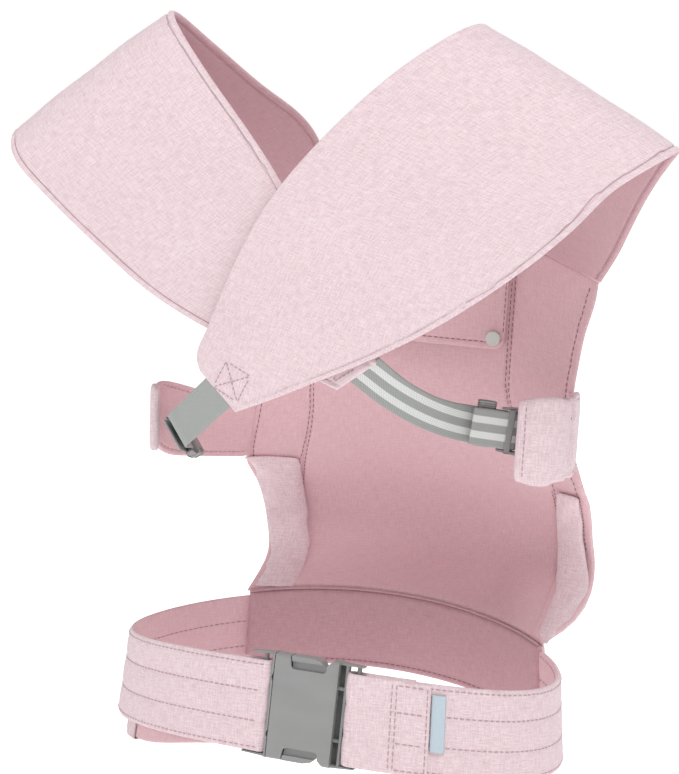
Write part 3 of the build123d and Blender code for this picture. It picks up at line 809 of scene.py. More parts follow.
def arc(angle_from, angle_to, out, step=1.6):
    """Stations (angle, out) along the loop, crowded near both ends."""
    span = abs(angle_to - angle_from)
    length = span * math.radians(1) * LOOP_HALF_WIDTH
    shares = clusters(length, (), step * math.radians(1) * LOOP_HALF_WIDTH)
    return [(angle_from + (angle_to - angle_from) * share, out) for share in shares]


def belt_rows(path, shares, low=0.0, high=BELT_TOP, droop=None):
    rows = []
    for angle, out in path:
        row = [loop_point(angle, out, low + (high - low) * share) for share in shares]
        if droop:
            row = [p - Vector((0, 0, droop(angle, out))) for p in row]
        rows.append(row)
    return rows


BAND = BELT_TOP * BELT_HEIGHT
BELT_CUTS = [BAND / 3, 2 * BAND / 3]
TOPSTITCH = 3.0 * MM
BELT_SHARES = clusters(BAND, [TOPSTITCH, *BELT_CUTS, BAND - TOPSTITCH], 3.2 * MM)


def belt_stitches(stitching, sheet, start, end, back=False):
    """Two channel rows and a topstitch along both edges."""
    for offset in (TOPSTITCH, *BELT_CUTS, -TOPSTITCH):
        stitching.run(along_line(sheet, offset, start, end, back))


def belt_right_arm():
    path = arc(back_angle(SEWN_LOW.x + 12 * MM), front_angle(MIDDLE_X + 118.6 * MM - INTO_PAD), 0.0)
    rows = belt_rows(path, BELT_SHARES)
    sheet = Sheet("belt_arm_right", rows, channelled(ARM - 0.6 * MM, 0.5 * MM, 0.5 * MM, BELT_CUTS, seed=2.0),
                  [OUTER, LINING], "outer_fabric")
    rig.replaces(sheet.object, "waist_belt_arm_right")
    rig.ride(sheet.object, "carrier")
    stitching = Stitching("belt_arm_right_stitches", THREAD_1, "carrier", "outer_fabric")
    first = 40 * MM
    belt_stitches(stitching, sheet, first, sheet.length - 2 * MM)
    belt_stitches(stitching, sheet, first, sheet.length - 2 * MM, True)
    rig.ride(stitching.finish(), "carrier")


def half_turn(edge_x, radius, from_side, angle_of, steps=10):
    """Stations around a fold whose middle line has this radius, from one side's offset to
    the other. edge_x is the middle line's outermost x; from_side is -1 or 1."""
    centre = edge_x + (radius if from_side < 0 else -radius)
    lead = -1 if from_side < 0 else 1
    path = []
    for k in range(1, steps):
        turn = math.pi * k / steps
        x = centre + lead * radius * math.sin(turn)
        path.append((angle_of(x), from_side * radius * math.cos(turn)))
    return centre, path


def belt_right_loop():
    """The sewn end loop, from its inner end around the socket's bar to its outer end."""
    edge = SEWN_LOW.x + LAYER / 2
    centre, fold = half_turn(edge, LOOP_OUT, -1, back_angle)
    inner = arc(back_angle(MIDDLE_X + 72 * MM), back_angle(centre), -LOOP_OUT)
    outer = arc(back_angle(centre), back_angle(MIDDLE_X + 80 * MM), LOOP_OUT)
    path = inner + fold + outer
    rows = belt_rows(path, BELT_SHARES)
    hem = 13 * MM
    rise = channelled(LAYER, 0.9 * MM, 0.0, BELT_CUTS, seed=7.0)
    sheet = Sheet("belt_end_loop", rows, rise, [OUTER, OUTER], "outer_fabric")
    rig.replaces(sheet.object, "waist_belt_loop_right")
    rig.ride(sheet.object, "carrier")
    stitching = Stitching("belt_end_loop_stitches", THREAD_1, "carrier", "outer_fabric")
    fold_at = sheet.length * 0.5
    for i, (angle, out) in enumerate(path):
        if angle == fold[len(fold) // 2][0] and out == fold[len(fold) // 2][1]:
            fold_at = sheet.u[i]
    belt_stitches(stitching, sheet, fold_at + 34 * MM, sheet.length - 1.5 * MM)
    for u in (fold_at + 31 * MM, fold_at + 34 * MM, sheet.length - 2.4 * MM):
        stitching.run(across_line(sheet, u, 2 * MM, BAND - 2 * MM))
    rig.ride(stitching.finish(), "carrier")


TAIL_DROOP = 13.0 * MM


def tail_droop(angle, out):
    """The free tail hangs lower towards its end, inside the belt."""
    inside = smoothstep((SHIFT - out) / (2 * SHIFT))
    return TAIL_DROOP * inside * smoothstep((-98 - angle) / 44)


ARM_BLEND = (loop_point(-166, 0, 0.5), loop_point(-106, 0, 0.5))


def belt_left_arm():
    """The adjustable end: outside from the pad, around the plug's bar, back inside."""
    edge = LEFT_HIGH.x - LAYER / 2
    centre, fold = half_turn(edge, SHIFT, 1, back_angle)
    outer = arc(front_angle(MIDDLE_X - 118.6 * MM + INTO_PAD) - 360, back_angle(centre), SHIFT)
    tail = arc(back_angle(centre), -172, -SHIFT)
    path = outer + fold + tail
    rows = belt_rows(path, BELT_SHARES, droop=tail_droop)
    sheet = Sheet("belt_arm_left", rows, channelled(LAYER, 1.1 * MM, 0.0, BELT_CUTS, seed=4.0),
                  [OUTER, LINING], "outer_fabric")
    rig.replaces(sheet.object, "waist_belt_arm_left")
    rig.blend(sheet.object, "carrier", "waist_plug", *ARM_BLEND)
    stitching = Stitching("belt_arm_left_stitches", THREAD_1, "carrier", "outer_fabric")
    fold_at = sheet.u[len(outer) + len(fold) // 2]
    belt_stitches(stitching, sheet, INTO_PAD, fold_at - 5 * MM)
    for offset in BELT_CUTS:
        stitching.run(along_line(sheet, offset, INTO_PAD, fold_at - 110 * MM, True))
    belt_stitches(stitching, sheet, fold_at + 9 * MM, sheet.length - 3 * MM)
    stitching.run(across_line(sheet, sheet.length - 3 * MM, 2 * MM, BAND - 2 * MM))
    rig.blend(stitching.finish(), "carrier", "waist_plug", *ARM_BLEND)


def closed_ring(name, corners, across, thickness, material, slot, turn=1.0 * MM):
    """A band around a rounded rectangle. corners are (y, z) of its middle line; across is a
    function (y, z, share) to a point in space."""
    (y0, z0), (y1, z1) = corners
    path = []
    for cy, cz, start in ((y1 - turn, z1 - turn, 0), (y0 + turn, z1 - turn, 90),
                          (y0 + turn, z0 + turn, 180), (y1 - turn, z0 + turn, 270)):
        for k in range(5):
            angle = math.radians(start + 90 * k / 4)
            path.append((cy + turn * math.cos(angle), cz + turn * math.sin(angle)))
    path.append(path[0])
    dense = []
    for (a, b), (c, d) in zip(path, path[1:]):
        pieces = max(1, round(math.hypot(c - a, d - b) / (3 * MM)))
        dense += [(a + (c - a) * k / pieces, b + (d - b) * k / pieces) for k in range(pieces)]
    dense.append(path[0])
    rows = [[across(y, z, share / 6) for share in range(7)] for y, z in dense]
    normal = (rows[1][0] - rows[0][0]).cross(rows[0][-1] - rows[0][0])
    centre = sum((row[3] for row in rows[:-1]), Vector()) / (len(rows) - 1)
    if normal.dot(rows[0][3] - centre) < 0:
        rows.reverse()
    return Sheet(name, rows, padded(thickness, ends=False), [material, material], slot)


def belt_keeper():
    low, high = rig.box("waist_belt_keeper")
    angle, half_angle = -150.0, 5.5
    reach = LAYER / 2 + 0.7 * MM

    def across(y, z, share):
        spot = loop_point(angle - half_angle + 2 * half_angle * share, -SHIFT + y, z / BELT_HEIGHT)
        return spot - Vector((0, 0, tail_droop(angle, -SHIFT)))

    corners = ((-reach, -1.2 * MM), (reach, BELT_HEIGHT + 1.2 * MM))
    sheet = closed_ring("belt_keeper", corners, across, 1.0 * MM, OUTER, "elastic")
    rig.replaces(sheet.object, "waist_belt_keeper")
    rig.ride(sheet.object, "carrier")


def care_tag():
    low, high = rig.box("care_tag")
    start, end = back_angle(MIDDLE_X + 80.6 * MM), back_angle(MIDDLE_X + 89 * MM)
    shares = clusters(0.59 * BELT_HEIGHT, (), 4 * MM)
    path = []
    for k in range(15):
        share = k / 14
        curl = 1.0 * MM * math.sin(math.pi * share)
        path.append((start + (end - start) * share, 3.2 * MM + curl))
    rows = belt_rows(path, shares, 0.27, 0.86)
    sheet = Sheet("side_tag", rows, padded(0.7 * MM), [TAG, TAG], "tag_tape")
    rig.replaces(sheet.object, "care_tag")
    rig.ride(sheet.object, "carrier")


def waist_pad():
    path = arc(front_angle(MIDDLE_X + 118 * MM), front_angle(MIDDLE_X - 118 * MM), 0.0)
    rows = belt_rows(path, BELT_SHARES, 0.07, 1.02)
    rise = padded(PAD - 1.0 * MM, 0.6 * MM, (5 * MM,), 0.7, 0.8, soft=0.5 * MM, seed=3.0)
    sheet = Sheet("waist_pad", rows, rise, [OUTER, PAD_LINING_SHADED], "outer_fabric")
    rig.replaces(sheet.object, "waist_pad_cover", "waist_pad_foam")
    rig.ride(sheet.object, "carrier")
    stitching = Stitching("waist_pad_stitches", THREAD_2, "carrier", "lining_fabric")
    stitching.run(along_line(sheet, 5 * MM, 4 * MM, sheet.length - 4 * MM, True))
    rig.ride(stitching.finish(), "carrier")
    seam = [loop_point(angle, -3.0 * MM, 1.03) for angle, _ in path]
    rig.ride(tube("waist_pad_piping", seam, 0.9 * MM, PAD_LINING_SHADED, "lining_fabric"), "carrier")


# ---------------------------------------------------------------- the body panel

class Slab:
    """The middle surface of an upright CAD panel, found by rays along the y axis."""

    def __init__(self, *nodes):
        mesh = bmesh.new()
        for node in nodes:
            mesh.from_mesh(NODES[node].data)
        self.tree = BVHTree.FromBMesh(mesh)
        mesh.free()

    def depth(self, x, z):
        front = self.tree.ray_cast(Vector((x, 1, z)), Vector((0, -1, 0)))[0]
        back = self.tree.ray_cast(Vector((x, -1, z)), Vector((0, 1, 0)))[0]
        if front is None or back is None:
            return None
        return (front.y + back.y) / 2

    def edge(self, inside, outside, z):
        low, high = inside, outside
        for _ in range(14):
            middle = (low + high) / 2
            if self.depth(middle, z) is None:
                high = middle
            else:
                low = middle
        return low


PANEL = Slab("body_panel_centre")
SIDES = {-1: Slab("body_panel_side_left"), 1: Slab("body_panel_side_right")}
SEAM_X = 75 * MM
PANEL_Z0, PANEL_Z1 = PANEL_LOW.z, PANEL_HIGH.z
SKIRT = 34 * MM
CUSHION_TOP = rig.box("leg_cushion_cover_left")[1].z


def smoothed(values, passes):
    for _ in range(passes):
        middle = [(a + 2 * b + c) / 4 for a, b, c in zip(values, values[1:], values[2:])]
        values = [values[0], *middle, values[-1]]
    return values


def level_table(function, count=90, passes=10):
    """A smooth function of height from samples between the panel's bottom and top."""
    inset = 0.3 * MM
    zs = [PANEL_Z0 + inset + (PANEL_Z1 - PANEL_Z0 - 2 * inset) * k / (count - 1) for k in range(count)]
    values = smoothed([function(z) for z in zs], passes)

    def read(z):
        share = (z - zs[0]) / (zs[-1] - zs[0]) * (count - 1)
        k = min(max(int(share), 0), count - 2)
        t = min(max(share - k, 0.0), 1.0)
        return values[k] * (1 - t) + values[k + 1] * t
    return read


def side_edge(side):
    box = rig.box("body_panel_side_right" if side > 0 else "body_panel_side_left")
    top = box[1].z - 0.5 * MM
    outside = box[1].x + 1 * MM if side > 0 else box[0].x - 1 * MM
    inside = MIDDLE_X + side * (SEAM_X + 1.5 * MM)
    return level_table(lambda z: abs(SIDES[side].edge(inside, outside, min(z, top)) - MIDDLE_X))


def by_height(values):
    """A smooth function of height, from values in mm at even steps from a cushion's foot
    to its top, that fades away above the cushion."""
    count = len(values) - 1

    def read(z):
        share = min(max((z - PANEL_Z0) / (CUSHION_TOP - PANEL_Z0), 0.0), 1.0) * count
        fade = 1 - smoothstep((z - CUSHION_TOP) / (60 * MM))
        return hermite(values, range(count + 1), share) * MM * fade
    return read


EDGE_X = {side: side_edge(side) for side in (-1, 1)}
EDGE_SHIFT = {-1: by_height((0, -8, -4, -1, 2, 6)), 1: by_height((-4, 9, 4, 2, 5, 10))}
CUSHION_INNER = 99.2 * MM
CUSHION_SHIFT = {-1: by_height((-17, -14, -6, -5, -6, -10)), 1: by_height((9, 8, 5, 5, 6, 9))}
CUSHION_RIM = {-1: by_height((0,) * 6), 1: by_height((-4, -1, 4, 4.5, 4.5, 4.5))}


def panel_edge(side, z):
    """How far the panel's side edge stands from its middle."""
    return EDGE_X[side](z) + EDGE_SHIFT[side](z)
DEPTH_MIDDLE = level_table(lambda z: PANEL.depth(MIDDLE_X, z))
DEPTH_SEAM = level_table(lambda z: PANEL.depth(MIDDLE_X + SEAM_X - 1.5 * MM, z) or PANEL.depth(MIDDLE_X, z))


def panel_depth(x, z):
    """Middle surface: a parabola across, from the depths at the middle and at the seam."""
    away = (x - MIDDLE_X) / (SEAM_X - 1.5 * MM)
    return DEPTH_MIDDLE(z) + (DEPTH_SEAM(z) - DEPTH_MIDDLE(z)) * away * away


def seam_point(x):
    """Where the panel's bottom edge meets the pad's top edge."""
    low, high = 5.0, 175.0
    for _ in range(24):
        middle = (low + high) / 2
        if loop_point(middle, 0, 1).x > x:
            low = middle
        else:
            high = middle
    return loop_point(low, 0, 1.03)


def skirt_shift(x, z):
    """The panel's foot reaches down and in to the pad's top edge."""
    foot = seam_point(x) - Vector((x, panel_depth(x, PANEL_Z0), PANEL_Z0))
    return foot * (1 - smoothstep((z - PANEL_Z0) / SKIRT))


def panel_spot(x, z):
    return Vector((x, panel_depth(x, z), z)) + skirt_shift(x, z)


def gathers(x, z):
    """Soft upright folds where the panel's foot is gathered onto the pad."""
    fade = (1 - smoothstep((z - PANEL_Z0) / (70 * MM)))
    fold = noise.noise(Vector((x * 75, z * 9, 1.7))) * 1.1 * MM * fade
    slack = noise.noise(Vector((x * 16, z * 14, 5.2))) * 1.8 * MM
    return (fold + slack) * smoothstep((z - PANEL_Z0) / (12 * MM))


def panel_rows(spans, zs, shares):
    rows = []
    for z in zs:
        left, right = spans(z)
        row = []
        for share in shares:
            x = left + (right - left) * share
            edge = min(share, 1 - share) * (right - left)
            spot = panel_spot(x, z)
            spot.y += gathers(x, z) * smoothstep(edge / (9 * MM))
            row.append(spot)
        rows.append(row)
    return rows


def heights(top, lines=()):
    shares = clusters(top - PANEL_Z0, lines, 5 * MM)
    return [PANEL_Z0 + (top - PANEL_Z0) * share for share in shares]


def seam_x(side, z):
    """The long seams stand a little left of the panel's middle, and run out behind the
    right buckle's cover and the leg cushions."""
    if side > 0:
        upper, foot, start, drop = 69 * MM, 106 * MM, 78 * MM, 72 * MM
    else:
        upper, foot, start, drop = 81.5 * MM, 104 * MM, 52 * MM, 96 * MM
    return upper + (foot - upper) * smoothstep((CUSHION_TOP + start - z) / drop)


def centre_rows(shares):
    rows = []
    for z in heights(PANEL_Z1 + 4 * MM):
        left, right = MIDDLE_X - seam_x(-1, z), MIDDLE_X + seam_x(1, z)
        row = []
        for share in shares:
            x = left + (right - left) * share
            edge = min(share, 1 - share) * (right - left)
            spot = panel_spot(x, min(z, PANEL_Z1))
            spot.z += max(0.0, z - PANEL_Z1)
            spot.y += gathers(x, z) * smoothstep(edge / (9 * MM))
            row.append(spot)
        rows.append(row)
    return rows


def strip_shares():
    return clusters(46 * MM, (STITCH_INSET, 46 * MM - SIDE_HEM), 4 * MM)


def side_rows(side, strap_start):
    """The strip outside a seam: its top edge meets the strap's front end."""
    neck, arm = strap_start
    rows = []
    for t in clusters(260 * MM, (), 5 * MM):
        row = []
        join = smoothstep((t - 0.84) / 0.16)
        for share in strip_shares():
            z_inner = PANEL_Z0 + (neck.z - PANEL_Z0) * t
            z_outer = PANEL_Z0 + (arm.z - PANEL_Z0) * t
            z = z_inner + (z_outer - z_inner) * share
            inner = seam_x(side, z_inner) - 0.7 * MM
            outer = max(panel_edge(side, z_outer), seam_x(side, z_outer) + 11 * MM)
            x = MIDDLE_X + side * (inner + (outer - inner) * share)
            spot = panel_spot(x, min(z, PANEL_Z1))
            spot.z = z + (spot.z - min(z, PANEL_Z1))
            corner = Vector((MIDDLE_X + side * (seam_x(side, neck.z) - 0.7 * MM), neck.y, neck.z))
            top = corner.lerp(arm, share)
            row.append(spot.lerp(top, join * join))
        rows.append(row if side > 0 else row[::-1])
    return rows


STITCH_INSET = 1.8 * MM
SIDE_HEM = 5.5 * MM


def panel(straps):
    stitching = Stitching("panel_stitches", THREAD_2, "carrier", "lining_fabric")
    shares = clusters(150 * MM, (STITCH_INSET, 150 * MM - STITCH_INSET), 5 * MM)
    rise = padded(4 * MM, 0.4 * MM, (STITCH_INSET, -STITCH_INSET), 0.5, 0.7, soft=0.3 * MM, seed=9.0)
    centre = Sheet("panel_centre", centre_rows(shares), rise, [OUTER, LINING], "lining_fabric")
    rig.replaces(centre.object, "body_panel_centre")
    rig.ride(centre.object, "carrier")
    for offset in (STITCH_INSET, -STITCH_INSET):
        stitching.run(along_line(centre, offset, CUSHION_TOP - PANEL_Z0, None, True))
    for side, word in ((-1, "left"), (1, "right")):
        ends = straps[side].rows[0][0], straps[side].rows[0][-1]
        ends = sorted(ends, key=lambda p: abs(p.x - MIDDLE_X))
        near, far = (STITCH_INSET, -SIDE_HEM) if side > 0 else (-STITCH_INSET, SIDE_HEM)
        rise = padded(4 * MM, 0.5 * MM, (near, far), 0.5, 0.7, soft=0.3 * MM, seed=11.0 + side)
        strip = Sheet(f"panel_side_{word}", side_rows(side, ends), rise, [OUTER, LINING], "lining_fabric")
        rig.replaces(strip.object, f"body_panel_side_{word}")
        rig.ride(strip.object, "carrier")
        stitching.run(along_line(strip, near, CUSHION_TOP - PANEL_Z0, strip.length - 20 * MM, True))
        for back, start in ((False, 4 * MM), (True, CUSHION_TOP + 10 * MM - PANEL_Z0)):
            stitching.run(along_line(strip, far, start, strip.length - 4 * MM, back))
        join = [ends[0].lerp(ends[1], k / 16) + Vector((0, -1.5 * MM, -0.5 * MM)) for k in range(17)]
        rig.ride(tube(f"strap_join_{word}", join, 1.3 * MM, LINING_EDGE, "lining_fabric"), "carrier")
    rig.ride(stitching.finish(), "carrier")


# ---------------------------------------------------------------- puffed pieces

def outer_shell(node):
    """A copy of the larger loose part of a CAD node's mesh, as points and faces."""
    mesh = bmesh.new()
    mesh.from_mesh(NODES[node].data)
    bmesh.ops.remove_doubles(mesh, verts=mesh.verts, dist=0.01 * MM)
    left, parts = set(mesh.verts), []
    while left:
        part, front = set(), {next(iter(left))}
        while front:
            part |= front
            front = {e.other_vert(v) for v in front for e in v.link_edges} - part
        parts.append(part)
        left -= part

    def reach(part):
        zs = [v.co.z for v in part]
        return max(zs) - min(zs)

    keep = max(parts, key=reach)
    bmesh.ops.delete(mesh, geom=[v for v in mesh.verts if v not in keep], context="VERTS")
    return mesh


def puff_start(name, node, place, shrink, voxel):
    """A voxel-remeshed copy of a CAD cover, shrunk a little, with its points moved by
    place."""
    source = outer_shell(node)
    mesh = bpy.data.meshes.new(name)
    source.to_mesh(mesh)
    source.free()
    made = bpy.data.objects.new(name, mesh)
    bpy.context.scene.collection.objects.link(made)
    remesh = made.modifiers.new("remesh", "REMESH")
    remesh.mode = "VOXEL"
    remesh.voxel_size = voxel
    depsgraph = bpy.context.evaluated_depsgraph_get()
    final = bpy.data.meshes.new_from_object(made.evaluated_get(depsgraph))
    made.modifiers.clear()
    made.data = final
    normals = [v.normal.copy() for v in final.vertices]
    for vertex, normal in zip(final.vertices, normals):
        vertex.co = place(vertex.co - normal * shrink)
    final.update()
    return made


def inflate(pieces):
    """Blow up closed pieces together by cloth pressure; each is (object, pressure, cap)."""
    starts = [[v.co.copy() for v in made.data.vertices] for made, _, _ in pieces]
    ends = starts
    if not QUICK:
        for made, pressure, _ in pieces:
            cloth = made.modifiers.new("cloth", "CLOTH")
            cloth.settings.quality = 6
            cloth.settings.mass = 0.15
            cloth.settings.tension_stiffness = 12
            cloth.settings.compression_stiffness = 8
            cloth.settings.shear_stiffness = 5
            cloth.settings.bending_stiffness = 0.4
            cloth.settings.use_pressure = True
            cloth.settings.uniform_pressure_force = pressure
            cloth.settings.effector_weights.gravity = 0
            cloth.point_cache.frame_start = 1
            cloth.point_cache.frame_end = 20
        for step in range(1, 21):
            bpy.context.scene.frame_set(step)
        depsgraph = bpy.context.evaluated_depsgraph_get()
        ends = [[v.co.copy() for v in made.evaluated_get(depsgraph).data.vertices] for made, _, _ in pieces]
        for made, _, _ in pieces:
            made.modifiers.clear()
        bpy.context.scene.frame_set(1)
    for (made, _, cap), start, end in zip(pieces, starts, ends):
        for vertex, a, b in zip(made.data.vertices, start, end):
            move = b - a
            if move.length > cap:
                move = move.normalized() * cap
            vertex.co = a + move
        made.data.update()


def relax(made, passes):
    """Even out a remeshed surface without shrinking it much."""
    mesh = bmesh.new()
    mesh.from_mesh(made.data)
    for _ in range(passes):
        bmesh.ops.smooth_vert(mesh, verts=mesh.verts, factor=0.5, use_axis_x=True, use_axis_y=True,
                              use_axis_z=True)
    mesh.to_mesh(made.data)
    mesh.free()


def finish_puff(made, materials, is_back, slot, wrinkle):
    """Subdivide once, ruffle, lay the weave flat and choose a cloth for each face."""
    subdivision = made.modifiers.new("subdivision", "SUBSURF")
    subdivision.levels = 1
    subdivision.render_levels = 1
    depsgraph = bpy.context.evaluated_depsgraph_get()
    final = bpy.data.meshes.new_from_object(made.evaluated_get(depsgraph))
    made.modifiers.clear()
    made.data = final
    normals = [v.normal.copy() for v in final.vertices]
    for vertex, normal in zip(final.vertices, normals):
        vertex.co += normal * wrinkle(vertex.co)
    final.materials.clear()
    for material in materials:
        final.materials.append(material)
    layer = final.uv_layers.new(name="weave") if "weave" not in final.uv_layers else final.uv_layers["weave"]
    final.update()
    for polygon in final.polygons:
        polygon.use_smooth = True
        polygon.material_index = 1 if is_back(polygon) else 0
        flat = abs(polygon.normal.x) > abs(polygon.normal.y)
        for loop in polygon.loop_indices:
            co = final.vertices[final.loops[loop].vertex_index].co
            layer.data[loop].uv = (co.y if flat else co.x, co.z)
    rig.slot(made, slot)


def cushion_wrinkle(co):
    return 0.45 * MM * noise.noise(Vector((co.x * 60, co.y * 60, co.z * 34)))




def cushion_place(co):
    """Cushions follow the panel's edge and foot, a little taller than their CAD solids."""
    side = 1 if co.x > MIDDLE_X else -1
    share = (abs(co.x - MIDDLE_X) - CUSHION_INNER) / (EDGE_X[side](co.z) - CUSHION_INNER)
    inner = CUSHION_INNER + CUSHION_SHIFT[side](co.z)
    outer = panel_edge(side, co.z) - CUSHION_RIM[side](co.z)
    x = MIDDLE_X + side * (inner + (outer - inner) * share)
    low = PANEL_Z0 + 2 * MM
    tall = Vector((x, co.y, low + (co.z - low) * 1.11))
    tall.y += panel_depth(tall.x, tall.z) - panel_depth(co.x, co.z)
    return tall + skirt_shift(co.x, tall.z)


COVER_LOW, COVER_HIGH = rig.box("buckle_cover_right")


def drawn_in(co):
    """The right wing and cover stand a little closer to the panel."""
    return Vector((COVER_LOW.x + (co.x - COVER_LOW.x) * 0.74, co.y, co.z + 7 * MM))


def left_cover_place(co):
    """The left cover lies against the wing's end, its lower corner turned in."""
    low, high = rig.box("buckle_cover_left")
    share = (co.z - low.z) / (high.z - low.z)
    return co + Vector((5.5 * MM, 3.5 * MM * (1 - share), 3 * MM * (1 - share)))


def cover_wrinkle(co):
    crease = noise.noise(Vector((co.x * 90, co.y * 90, co.z * 22)))
    return 0.8 * MM * crease


def puffed_pieces():
    started = []
    for side in ("left", "right"):
        cushion = puff_start(f"leg_cushion_{side}", f"leg_cushion_cover_{side}", cushion_place,
                             0.8 * MM, 3.2 * MM)
        started.append((cushion, 4.0, 4.5 * MM))
    for side, voxel, place in (("left", 2.6 * MM, left_cover_place), ("right", 3.2 * MM, drawn_in)):
        cover = puff_start(f"buckle_cover_{side}_padding", f"buckle_cover_{side}", place, 0.8 * MM, voxel)
        started.append((cover, 4.0, 3.5 * MM))
    for made, _, _ in started:
        relax(made, 6)
    inflate(started)
    for made, _, _ in started:
        relax(made, 2)
    for (made, _, _), side in zip(started[:2], ("left", "right")):
        finish_puff(made, [OUTER], lambda polygon: False, "outer_fabric", cushion_wrinkle)
        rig.replaces(made, f"leg_cushion_cover_{side}", f"leg_cushion_foam_{side}")
        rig.ride(made, "carrier")
    for (made, _, _), side in zip(started[2:], ("left", "right")):
        finish_puff(made, [OUTER], lambda polygon: False, "outer_fabric", cover_wrinkle)
        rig.replaces(made, f"buckle_cover_{side}")
        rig.ride(made, "carrier")
    cover = started[3][0]
    points = [v.co for v in cover.data.vertices]
    left = min(p.x for p in points) + 6.5 * MM
    low, high = min(p.z for p in points) + 5 * MM, max(p.z for p in points) - 5 * MM
    y = min(p.y for p in points)
    stitching = Stitching("buckle_cover_right_stitches", THREAD_1, "carrier", "outer_fabric")
    stitching.run(drape(surface_of(cover), Vector((left, y, low)), Vector((left, y, high)), Vector((0, 1, 0)), 20))
    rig.ride(stitching.finish(), "carrier")


# ---------------------------------------------------------------- head support

def head_support():
    low, high = FLAP_LOW, FLAP_HIGH
    y = (low.y + high.y) / 2
    top = high.z - 2.6 * MM
    corner = 8 * MM
    width = high.x - low.x
    rows = []
    for share in clusters(width, (4 * MM, width - 4 * MM), 5 * MM):
        x = low.x + width * share
        near = min(share, 1 - share) * width
        cut = corner - math.sqrt(max(0.0, corner ** 2 - max(0.0, corner - near) ** 2))
        bottom = low.z + cut
        row = []
        for rise_share in clusters(top - low.z, (4 * MM, 7 * MM), 4.5 * MM):
            z = bottom + (top - bottom) * rise_share
            sag = 0.9 * MM * noise.noise(Vector((x * 22, z * 30, 3.3))) * smoothstep(rise_share * 6)
            row.append(Vector((x, y + sag, z)))
        rows.append(row)
    rows.reverse()
    rise = padded(3.4 * MM, 0.3 * MM, (5 * MM,), 0.5, 0.7, soft=0.3 * MM, seed=6.0)
    sheet = Sheet("head_support_flap_pad", rows, rise, [LINING, LINING], "lining_fabric")
    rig.ride(sheet.object, "head_support_flap")
    hem_path = [Vector((low.x + width * k / 24, y, top)) for k in range(25)]
    hem = tube("head_support_hem", hem_path, 2.6 * MM, LINING, "lining_fabric", sides=14)
    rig.replaces(sheet.object, "head_support")
    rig.ride(hem, "head_support_flap")
    stitching = Stitching("head_support_stitches", THREAD_2, "head_support_flap", "lining_fabric")
    for back in (False, True):
        stitching.run(along_line(sheet, 5 * MM, 5 * MM, sheet.length - 5 * MM, back))
        stitching.run(across_line(sheet, 4 * MM, 8 * MM, 66 * MM, back))
        stitching.run(across_line(sheet, sheet.length - 4 * MM, 8 * MM, 66 * MM, back))
    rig.ride(stitching.finish(), "head_support_flap")


# ---------------------------------------------------------------- straps and wings

TO_VIEWER = Vector((0, -1, 0))


def eased(pairs, passes):
    """Edge pairs with their sharp turns rounded off, and their ends kept."""
    for _ in range(passes):
        middle = []
        for before, here, after in zip(pairs, pairs[1:], pairs[2:]):
            middle.append([(a + 2 * b + c) / 4 for a, b, c in zip(before, here, after)])
        pairs = [pairs[0], *middle, pairs[-1]]
    return pairs


def surface_of(made):
    mesh = bmesh.new()
    mesh.from_mesh(made.data)
    tree = BVHTree.FromBMesh(mesh)
    mesh.free()
    return tree


def drape(tree, a, b, toward, count=14):
    """Places on a surface under a straight line from a to b, seen along toward."""
    places = []
    for k in range(count + 1):
        p = a.lerp(b, k / count)
        spot, normal, _, _ = tree.ray_cast(p - toward * 60 * MM, toward)
        if spot is not None:
            places.append((spot, normal))
    return places


def box_stitch(stitching, sheet, u, half):
    """A sewn square with a cross in it, centred u along the sheet."""
    middle, normal = sheet.place(u, sheet.width(u) / 2)
    low, _ = sheet.place(u, 2 * MM)
    high, _ = sheet.place(u, sheet.width(u) - 2 * MM)
    across = (high - low).normalized()
    along = across.cross(normal).normalized()
    corners = [middle + along * x * half + across * y * half
               for x, y in ((-1, -1), (1, -1), (1, 1), (-1, 1), (-1, -1), (1, 1))]
    tree = surface_of(sheet.object)
    for a, b in zip(corners, corners[1:]):
        stitching.run(drape(tree, a, b, -normal), 2.4, 0.8)
    stitching.run(drape(tree, corners[1], corners[3], -normal), 2.4, 0.8)


def widen_end(pairs):
    """The strap's end is a little wider than the webbing sewn into it."""
    length = 0.0
    for k in range(len(pairs) - 1, 0, -1):
        a, b = pairs[k]
        spread = (b - a).normalized() * 5.5 * MM * (1 - smoothstep(length / (42 * MM)))
        length += ((a + b) / 2 - (pairs[k - 1][0] + pairs[k - 1][1]) / 2).length
        pairs[k] = [a - spread * 0.4, b + spread]


# The straps' back face: the lining's deeper pink with painted shade, darker than both the outer cloth and the lining.
STRAP_BACK_SHADED = melange_fabric("strap_lining", (0.69, 0.455, 0.49), (0.54, 0.325, 0.36), 0.8)


def strap(side, lines, seed):
    node = f"shoulder_strap_{side}"
    pairs = eased(resampled(ribbon_stations(node, lambda p: -p.y), 5 * MM, TO_VIEWER), 5)
    widen_end(pairs)
    pairs.pop()
    width = 105 * MM
    marks = [line if line > 0 else width + line for line in lines]
    shares = clusters(width, marks, 4.5 * MM)
    rise = padded(4.6 * MM, 1.3 * MM, lines, 1.3, 0.7, soft=0.7 * MM, seed=seed)
    sheet = Sheet(f"strap_{side}", strip_rows(pairs, shares), rise, [OUTER, STRAP_BACK_SHADED], "outer_fabric")
    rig.replaces(sheet.object, node)
    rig.ride(sheet.object, "carrier")
    stitching = Stitching(f"strap_{side}_stitches", THREAD_1, "carrier", "outer_fabric")
    end = sheet.length
    box_stitch(stitching, sheet, end - 15 * MM, 9.5 * MM)
    for i, line in enumerate(lines):
        path = [spot + normal * 0.05 * MM for spot, normal in along_line(sheet, line, 2 * MM, end - 6 * MM)]
        seam = tube(f"strap_{side}_seam_{i}", path, 0.32 * MM, THREAD_1, "outer_fabric", sides=6)
        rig.ride(seam, "carrier")
    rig.ride(stitching.finish(), "carrier")
    return sheet


